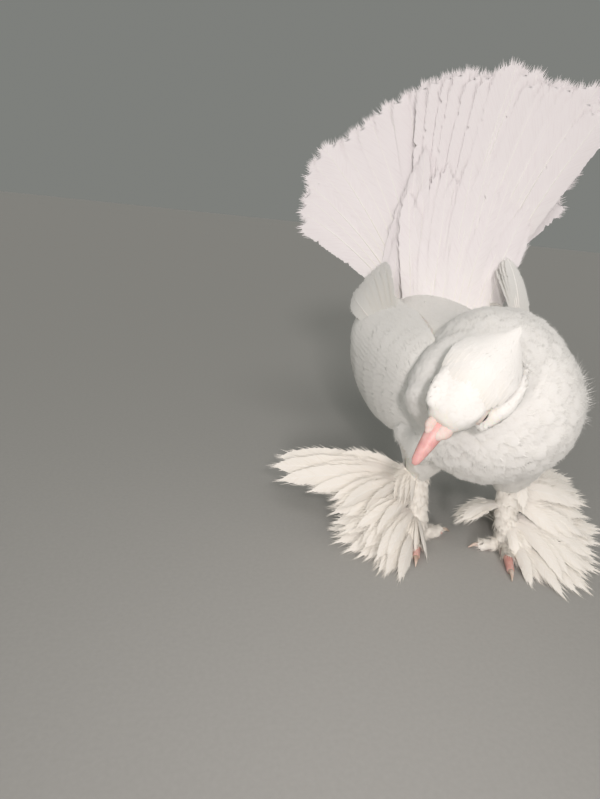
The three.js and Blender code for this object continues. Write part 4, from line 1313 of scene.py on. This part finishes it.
# %% Crest
HOOD = [
    [-42, 9.6, 2.6], [-38, 10.0, 5.0], [-33, 10.6, 8.8], [-28, 11.3, 11.8],
    [-22, 12.2, 14.6], [-16, 13.0, 15.8], [-8, 13.6, 15.6], [2, 13.4, 14.0],
]
HOOD_TIERS = [
    (15, 0, 20, 13.0), (17, -3, 22, 14.6), (19, -6, 24, 15.8), (21, -9, 26, 15.8), (21, -11, 28, 15.6),
    (19, -13, 28, 15.0),
]


def crest_feathers():
    """Tiers from the crown back to the peak. Each gives count, start, reach and spread."""
    made = []
    for layer, (count, start, reach, spread) in enumerate(HOOD_TIERS):
        for i in range(count):
            share = 2 * i / (count - 1) - 1 + random.uniform(-0.05, 0.05)
            t = np.linspace(0, 1, 18)
            long = reach * (1 - 0.25 * share**2) * random.uniform(0.94, 1.03)
            f = start - 2 * (1 - share**2) - long * t
            wide = np.minimum(station(HOOD, f, 2), spread)
            half, above = station(HEAD, f, 1), station(HEAD, f, 2)
            crown = above * np.sqrt(np.clip(1 - (share * wide / (half + 1)) ** 2, 0.03, 1))
            free = smooth_step(-2, -17, f)
            hood = station(HOOD, f, 1) - 4.6 * share**2 - 0.2 * layer
            up = (crown - 0.9 + 1.6 * t) * (1 - free) + hood * free
            line = head_point(f, share * wide + 2.6 * smooth_step(-12, -44, f), up)
            facing = unit(head_up + head_left * share * 0.75)
            made.append(long_feather(line, facing, 2.2, 0.0, 0.1, 7, 0.3, COVERT_VANE, splits=0))
    return made


CREST_BARBS = (0.4, 20, 1.4, 0.3, 0.3, 0.05)
crest = FeatherSet("crest_feathers", body_feather, shaft_keratin, "plumage", CREST_BARBS)
crest.add(crest_feathers())
crest.make()

# %% [markdown]
# The legs end in bare pink toes, but long stiff feathers grow from the shanks and fan out
# over the floor. They curve under their own weight and their tips fray where they brush
# the ground.

# %% Foot feathers
# count, height on the shank, heading, reach, tip height, half width: each at both ends; lean
MUFFS = {
    "right": [
        [24, 0.1, 238, 170, 50, 56, 0.5, 4, 4.4, 5.4, 0.35],
        [20, 0.35, 226, 164, 46, 56, 6, 14, 4.4, 5.6, 0.35],
        [16, 0.6, 212, 160, 42, 60, 14, 24, 4.6, 6.0, 0.7],
        [12, 0.85, 190, 160, 46, 82, 25, 34, 5.5, 7.0, 1.2],
        [6, 0.92, 170, 158, 84, 101, 31, 38, 7.5, 9.0, 1.3],
        [8, 0.2, 140, 104, 44, 34, 0.5, 0.5, 5.0, 5.0, 0.35],
        [12, 0.3, 262, 214, 22, 36, 3, 9, 3.0, 3.6, 0.4],
        [14, 1.04, 236, 160, 17, 24, 33, 36, 3.8, 4.5, 0.6],
        [3, 0.9, 157, 152, 74, 70, 46, 50, 5.0, 5.0, 1.0],
    ],
    "left": [
        [26, 0.1, 270, 350, 48, 63, 0.5, 3, 3.8, 5.0, 0.35],
        [22, 0.35, 290, 362, 48, 66, 6, 22, 3.8, 5.0, 0.35],
        [18, 0.65, 320, 376, 48, 66, 18, 36, 4.0, 5.5, 0.35],
        [12, 0.88, 344, 386, 50, 65, 34, 44, 4.5, 6.0, 0.35],
        [14, 0.76, 346, 384, 46, 60, 24, 40, 4.5, 5.5, 0.35],
        [9, 1.04, 300, 370, 16, 20, 33, 37, 3.8, 4.5, 0.6],
        [9, 0.2, 400, 462, 42, 54, 0.5, 0.5, 5.0, 5.0, 0.35],
        [7, 0.6, 150, 182, 32, 28, 13, 20, 4.5, 4.5, 1.0],
        [12, 0.3, 262, 316, 22, 38, 3, 9, 3.0, 3.6, 0.4],
    ],
}
MUFF_VANE = [[0, 0.35], [0.15, 0.7], [0.4, 1.0], [0.66, 0.97], [0.84, 0.7], [0.94, 0.4], [1, 0.1]]


def muff_feathers(leg, tiers):
    hock, foot = np.array(leg["hock"], float), np.array(leg["foot"], float)
    made = []
    for count, start, head0, head1, reach0, reach1, tip0, tip1, half0, half1, lean in tiers:
        for i in range(count):
            share = i / (count - 1)
            heading = math.radians(np.interp(share, [0, 1], [head0, head1]) + 4 * random.uniform(-1, 1))
            reach = np.interp(share, [0, 1], [reach0, reach1]) * random.uniform(0.76, 1.05)
            tip_z = np.interp(share, [0, 1], [tip0, tip1]) + 0.6 * random.random()
            half = np.interp(share, [0, 1], [half0, half1]) * random.uniform(0.85, 1.05)
            root = foot + (hock - foot) * start
            away = np.array([math.cos(heading), math.sin(heading), 0])
            tip = root + away * reach
            tip[2] = tip_z
            bend = root + away * reach * 0.5
            bend[2] = max(root[2], tip_z) + 3 + 2 * random.random()
            t = np.linspace(0, 1, 34)[:, None]
            line = (1 - t) ** 2 * (root + away * 1.5) + 2 * t * (1 - t) * bend + t**2 * tip
            line = line + np.cross(away, [0, 0, 1]) * (6 * random.uniform(-1, 1) * t**2.5)
            line[:, 2] = np.maximum(line[:, 2], 0.5)
            turn = math.radians(head1 - head0) / (count - 1)
            roll = np.arctan(1.2 / (turn * np.maximum(reach * t[:, 0], 14)))
            up = unit([0, -lean, 1])
            made.append(long_feather(line, up, half, roll, 0.6, 7, 0.7, MUFF_VANE, splits=3))
    return made


MUFF_BARBS = (0.6, 34, 6.0, 0.5, 0.4, 0.08)
muffs = FeatherSet("foot_feathers", muff_feather, shaft_keratin, "plumage", MUFF_BARBS)
for side, leg in LEGS.items():
    muffs.add(muff_feathers(leg, MUFFS[side]))
for grids, *_ in muffs.vanes.parts + muffs.shafts.parts:
    grids[..., 2] = np.maximum(grids[..., 2], 0.15)
muffs.make()


# %% [markdown]
# Shank and toes are covered with small horny scales: broad plates in a row along the front
# and a fine net of grains at the sides. The plates are modelled as ridges in the rings.

# %% Shape of shanks and toes
def scaled_limb(path, radii, sides, steps, plates, hint):
    rings = limb_rings(path, radii, sides, steps, hint)
    centre = rings.mean(1, keepdims=True)
    t = np.linspace(0, 1, steps)
    ridge = 1 - 0.05 * (np.abs(np.mod(t * plates, 1) - 0.5) * 2) ** 3
    top = 0.5 + 0.5 * unit(rings - centre)[..., 2:]
    return centre + (rings - centre) * (1 + (ridge[:, None, None] - 1) * top * 1.6)


def foot_forms(leg):
    hock, foot = np.array(leg["hock"], float), np.array(leg["foot"], float)
    up = hock - foot
    shank = [foot + up * 1.08, foot + up * 0.5, foot]
    forms = [scaled_limb(shank, [5.6, 4.4, 4.2], 18, 40, 14, (0, 1, 0))]
    for x, y in leg["toes"].values():
        end = np.array([foot[0] + x, foot[1] + y, 2.5])
        middle = (foot + end) / 2
        middle[2] = 3.9
        forms.append(scaled_limb([foot, middle, end], [3.5, 3.0, 2.4], 14, 36, 9, (0, 0, 1)))
    return forms


print("crossing forms of one foot:", len(foot_forms(LEGS["left"])))

# %% [markdown]
# Small feathers also cover the shank and the root of the toes. They lie down the shank and
# then out along the nearest toe, and leave the soles and the ends of the toes bare.


# %% Small feathers of the foot
def foot_lie(points, out, leg):
    """Down the shank, then out along the nearest toe."""
    hock, foot = np.array(leg["hock"], float), np.array(leg["foot"], float)
    field = np.tile(unit(foot - hock), (len(points), 1))
    flat = points[:, :2] - foot[:2]
    on_toe = smooth_step(12, 6, points[:, 2])[:, None]
    toes = np.array(list(leg["toes"].values()), float)
    nearest = np.argmax(unit(flat) @ unit(toes).T, 1)
    ways = np.c_[unit(toes), np.zeros(len(toes))][nearest]
    field = field * (1 - on_toe) + ways * on_toe + 0.12 * random.normal(size=points.shape)
    return unit(field - np.sum(field * out, -1, keepdims=True) * out)


def feathered_foot(points, leg):
    """Where small feathers stand: not on the soles and not near the claws."""
    foot = np.array(leg["foot"], float)
    reach = np.linalg.norm(points[:, :2] - foot[:2], axis=1)
    return ((points[:, 2] > 3.2) | (reach < 5)) & (reach < 14) & (points[:, 2] > 1.4)


print("toes of one foot:", len(LEGS["left"]["toes"]))

# %% [markdown]
# Each foot is made with its small feathers, and a claw that curves down at every toe.

# %% Feet and claws
foot_down = Coat("foot_down", muff_feather, "plumage")
for side, leg in LEGS.items():
    points, faces = join_forms(foot_forms(leg))
    points[:, 2] = np.maximum(points[:, 2], 0.02)
    bare = make_piece("foot_skin_" + side, points, faces, foot_skin, ["foot_" + side])
    unwrap(bare)
    surface = Surface(bare)
    roots, out, places = surface.scatter(
        lambda p: np.full(len(p), 1.5 * coarse), lambda p: feathered_foot(p, leg), int(9000 / coarse**2)
    )
    n = len(roots)
    high = smooth_step(4, 30, roots[:, 2])
    grids = skin_feathers(
        surface, roots, out, foot_lie(roots, out, leg), (6 + 4 * high) * random.uniform(0.7, 1.3, n),
        1.7 + 0.6 * high, (1.8 + 0.9 * high) * random.uniform(0.5, 1.5, n), 0.7, sink=0.05, crown=0.3,
    )
    grids[..., 2] = np.maximum(grids[..., 2], 0.1)
    tone = random.random(n)
    foot_down.add(grids, places, tone)
    loose = fringe(grids, 3, 9, 3.2, 0.3, 3)
    loose[..., 2] = np.maximum(loose[..., 2], 0.1)
    foot_down.add(loose, np.repeat(places, 9, 0), np.repeat(tone, 9), 0.9)
    foot = np.array(leg["foot"], float)
    for toe, (x, y) in leg["toes"].items():
        end = np.array([foot[0] + x, foot[1] + y, 2.5])
        way = unit([x, y, 0])
        line = [end - way * 0.6, end + way * 4 + [0, 0, 0.9], end + way * 8.6 - [0, 0, 1.7]]
        rings = limb_rings(line, [1.9, 1.3, 0.3], 12, 14, (0, 0, 1))
        points, faces = closed_loft(rings)
        points[:, 2] = np.maximum(points[:, 2], 0.02)
        name = f"claw_{side}_{toe}"
        make_piece(name + "_horn", points, faces, claw_horn, [name])
foot_down.make()

# %% [markdown]
# The bill is a slim wedge of horn in two halves that droop towards the tip, with the pale
# swollen cere at the base of the upper half. In life the nostrils open as slits at its
# front edge. None can be made out on this bird, so none are modelled.

# %% Bill
BILL_BASE, BILL_TIP = 15.5, 39.0
BILL_TURN = 1.4


def mouth_line(f):
    t = (f - BILL_BASE) / (BILL_TIP - BILL_BASE)
    return -2.2 - 2.52 * t**3


def bill_half(upper):
    reach = BILL_TIP if upper else BILL_TIP - 1.8
    sign = 1 if upper else -1
    t = np.linspace(0, 1, 40)
    f = BILL_BASE + (reach - BILL_BASE) * t
    blunt = np.sqrt(np.clip((1.02 - t) / 0.1, 0, 1))
    half = 5 * (1 - 0.62 * t**1.5) * blunt
    high = (4.2 if upper else 2.9) * (1 - 0.7 * t**1.5) * blunt
    centres = head_point(f, BILL_TURN * t, mouth_line(f) + sign * 0.12)
    above, below = (high, high * 0.04) if upper else (high * 0.04, high)
    return closed_loft(oval_rings(centres, head_left, head_up, half, above, below, 28))


for upper, name in ((True, "bill_upper"), (False, "bill_lower")):
    points, faces = bill_half(upper)
    make_piece(name + "_horn", points, faces, bill_horn, [name])


CERES = {
    "cere_left": [[[18.0, 3.9, 0.4], [4.4, 3.7, 2.4]], [[20.6, 2.9, 0.2], [3.6, 2.6, 2.0]]],
    "cere_right": [[[18.6, -3.7, 0.6], [4.0, 2.7, 2.6]], [[20.8, -2.7, 0.2], [3.4, 2.2, 2.0]]],
}
for name, balls in CERES.items():
    mesh = fused_mesh(name, [head_ball(centre, radii) for centre, radii in balls], 0.35, 4)
    points = np.array([v.co[:] for v in mesh.vertices]) / MM - OFFSET
    make_piece(name, points, [list(f.vertices) for f in mesh.polygons], cere_skin)

# %% [markdown]
# A pigeon's eye is a wet ball that sits deep in its socket. This breed often has a dark
# brown iris that can hardly be told from the pupil. The colour is worked out from the
# distance to the eye's axis, and a clear coat gives the wet gleam.

# %% Eyes and lids
def eye_material(name, centre, axis):
    material, tree, shader = new_material(
        name, {"Roughness": 0.12, "IOR": 1.38, "Coat Weight": 1.0, "Coat Roughness": 0.02}
    )
    where = add_node(tree, "ShaderNodeTexCoord")
    offset = add_node(
        tree, "ShaderNodeVectorMath", {"operation": "SUBTRACT"}, {0: where.outputs["Object"]}
    )
    offset.inputs[1].default_value = to_frame(centre)
    crossed = add_node(
        tree, "ShaderNodeVectorMath", {"operation": "CROSS_PRODUCT"}, {0: offset.outputs["Vector"]}
    )
    crossed.inputs[1].default_value = axis
    distance = add_node(
        tree, "ShaderNodeVectorMath", {"operation": "LENGTH"}, {0: crossed.outputs["Vector"]}
    )
    share = add_node(
        tree,
        "ShaderNodeMapRange",
        {"From Min": 0.0, "From Max": EYE["colour_reach"] * MM},
        {"Value": distance.outputs["Value"]},
    )
    ramp = add_node(tree, "ShaderNodeValToRGB", None, {"Fac": share.outputs["Result"]})
    stops = ramp.color_ramp.elements
    stops[0].color, stops[0].position = linear("#050404"), 0.0
    stops[1].color, stops[1].position = linear("#1A0E0A"), 1.0
    for place, code in ((0.46, "#050404"), (0.52, "#3A2016"), (0.74, "#2A160F"), (0.86, "#120A08")):
        stop = stops.new(place)
        stop.color = linear(code)
    tree.links.new(ramp.outputs["Color"], shader.inputs["Base Color"])
    return material


for name, side in (("eye_left", 1), ("eye_right", -1)):
    place = [EYE["forward"], side * EYE["side"], EYE["up"]]
    finish = eye_material("wet_dark_eye_" + name[4:], head_point(*place), head_left)
    points, faces = closed_loft(head_ball(place, [EYE["radius"]] * 3, 30, 40))
    make_piece(name + "_ball", points, faces, finish, [name])
    # Rim of the lid: distance from the eye's axis, and height above the eye's middle.
    profile = np.array(
        [[3.3, 3.3], [3.42, 3.62], [3.7, 3.78], [4.05, 3.7], [4.5, 3.35], [5.2, 2.6], [5.9, 1.4]]
    )
    around = np.linspace(0, 2 * np.pi, 48, endpoint=False)[:, None]
    wrinkle = 1 + 0.018 * np.cos(14 * around) * (profile[:, 0] > 3.5)
    radius = profile[:, 0] * wrinkle
    ring = head_point(
        EYE["forward"] + radius * np.cos(around) * 1.04,
        side * (EYE["side"] + profile[:, 1] * np.ones_like(around)),
        EYE["up"] + radius * np.sin(around) * 0.93,
    )
    rows, columns = ring.shape[:2]
    ring = np.concatenate([ring, ring[:1]])
    faces = grid_faces(rows + 1, columns)
    make_piece(name.replace("eye", "eyelid"), ring.reshape(-1, 3), faces, lid_skin)

# %% [markdown]
# The setting is a plain pale floor, like the paper that a studio lays under a small model.
# A plane far larger than the bird does, and a faint grain keeps it from looking painted.

# %% Floor
PAPER_GRAIN_MM = 2.5
floor_material, floor_tree, floor_shader = new_material("matt_pale_paper", {"Roughness": 0.9})
where = add_node(floor_tree, "ShaderNodeTexCoord")
grain = add_node(
    floor_tree,
    "ShaderNodeTexNoise",
    {"Scale": 1 / (PAPER_GRAIN_MM * MM), "Detail": 3.0},
    {"Vector": where.outputs["Object"]},
)
ramp = add_node(floor_tree, "ShaderNodeValToRGB", None, {"Fac": grain.outputs["Fac"]})
ramp.color_ramp.elements[0].color = linear("#B4B3AF")
ramp.color_ramp.elements[1].color = linear("#BEBDB9")
floor_tree.links.new(ramp.outputs["Color"], floor_shader.inputs["Base Color"])
floor_mesh = bpy.data.meshes.new("floor")
FLOOR_REACH = 6.0  # metres from the middle to each edge
floor_corners = [(x * FLOOR_REACH, y * FLOOR_REACH, 0) for x, y in ((-1, -1), (1, -1), (1, 1), (-1, 1))]
floor_mesh.from_pydata(floor_corners, [], [(0, 1, 2, 3)])
floor_mesh.materials.append(floor_material)
floor = bpy.data.objects.new("floor", floor_mesh)
bpy.context.scene.collection.objects.link(floor)
print("floor:", 2 * FLOOR_REACH, "m across")

# %% [markdown]
# The photo looks as if taken with a flash at the camera and soft light round it. So the
# strongest light comes from the camera's direction, softer ones from the picture's left
# and from above, a small lamp beside the camera stands for the flash, and a pale sky fills
# the shadows.


# %% Lamps and sky
def lamp(name, place, target, size, power, colour):
    light = bpy.data.lights.new(name, "AREA")
    light.size, light.energy, light.color = size, power, linear(colour)[:3]
    piece = bpy.data.objects.new(name, light)
    piece.location = place
    way = Vector(target) - Vector(place)
    piece.rotation_euler = way.to_track_quat("-Z", "Y").to_euler()
    bpy.context.scene.collection.objects.link(piece)


def lamp_sun(name, way, angle, power, colour):
    """Light from one direction, equally strong everywhere. way: from the lamp to the bird."""
    light = bpy.data.lights.new(name, "SUN")
    light.angle, light.energy, light.color = math.radians(angle), power, linear(colour)[:3]
    piece = bpy.data.objects.new(name, light)
    piece.location = (0, 0, 1)
    piece.rotation_euler = Vector(way).to_track_quat("-Z", "Y").to_euler()
    bpy.context.scene.collection.objects.link(piece)


lamp_sun("key", (0.223, 0.92, -0.321), 8, 0.82, "#FFF8F6")
lamp_sun("window_left", (0.7, 0.6, -0.4), 25, 0.4, "#FFFBF8")
lamp_sun("ceiling", (0.05, 0.62, -0.78), 25, 0.42, "#FFF9F7")
lamp("flash", (-0.135, -0.367, 0.24), (-0.03, -0.05, 0.15), 0.02, 0.36, "#FFF6F5")
world = bpy.data.worlds.new("pale_sky")
world.use_nodes = True
world.node_tree.nodes["Background"].inputs["Color"].default_value = linear("#D9DCD6")
world.node_tree.nodes["Background"].inputs["Strength"].default_value = 0.3
bpy.context.scene.world = world
bpy.context.scene.view_settings.view_transform = "Standard"
print("lamps:", len(bpy.data.lights))

# %% [markdown]
# The camera looks from where the photo was taken: before the bird, to its right and above
# it, almost 19 degrees down. Its focal length was measured in pixels of the photo. Blender
# wants it in millimetres, for a sensor whose long side takes in the picture's height.

# %% Camera
FOCAL_PIXELS = 581.5
PICTURE_HEIGHT = 799  # pixels
SENSOR = 36  # millimetres
CAMERA_PLACE = [-191.69, -297.78, 212.0]
view_way = unit([0.22288, 0.92039, -0.32127])
view_up = unit([-0.03275, 0.33645, 0.94114])
view_right = unit(np.cross(view_way, view_up))
view_up = np.cross(view_right, view_way)
camera_data = bpy.data.cameras.new("camera")
camera_data.lens = FOCAL_PIXELS / PICTURE_HEIGHT * SENSOR
camera_data.sensor_width = SENSOR
camera_data.clip_start = 0.02
camera = bpy.data.objects.new("camera", camera_data)
matrix = Matrix([[*row, 0] for row in np.stack([view_right, view_up, -view_way], 1)] + [[0, 0, 0, 1]])
matrix.translation = Vector(to_frame(CAMERA_PLACE))
camera.matrix_world = matrix
bpy.context.scene.collection.objects.link(camera)
bpy.context.scene.camera = camera
print("lens:", round(camera_data.lens, 2), "mm")
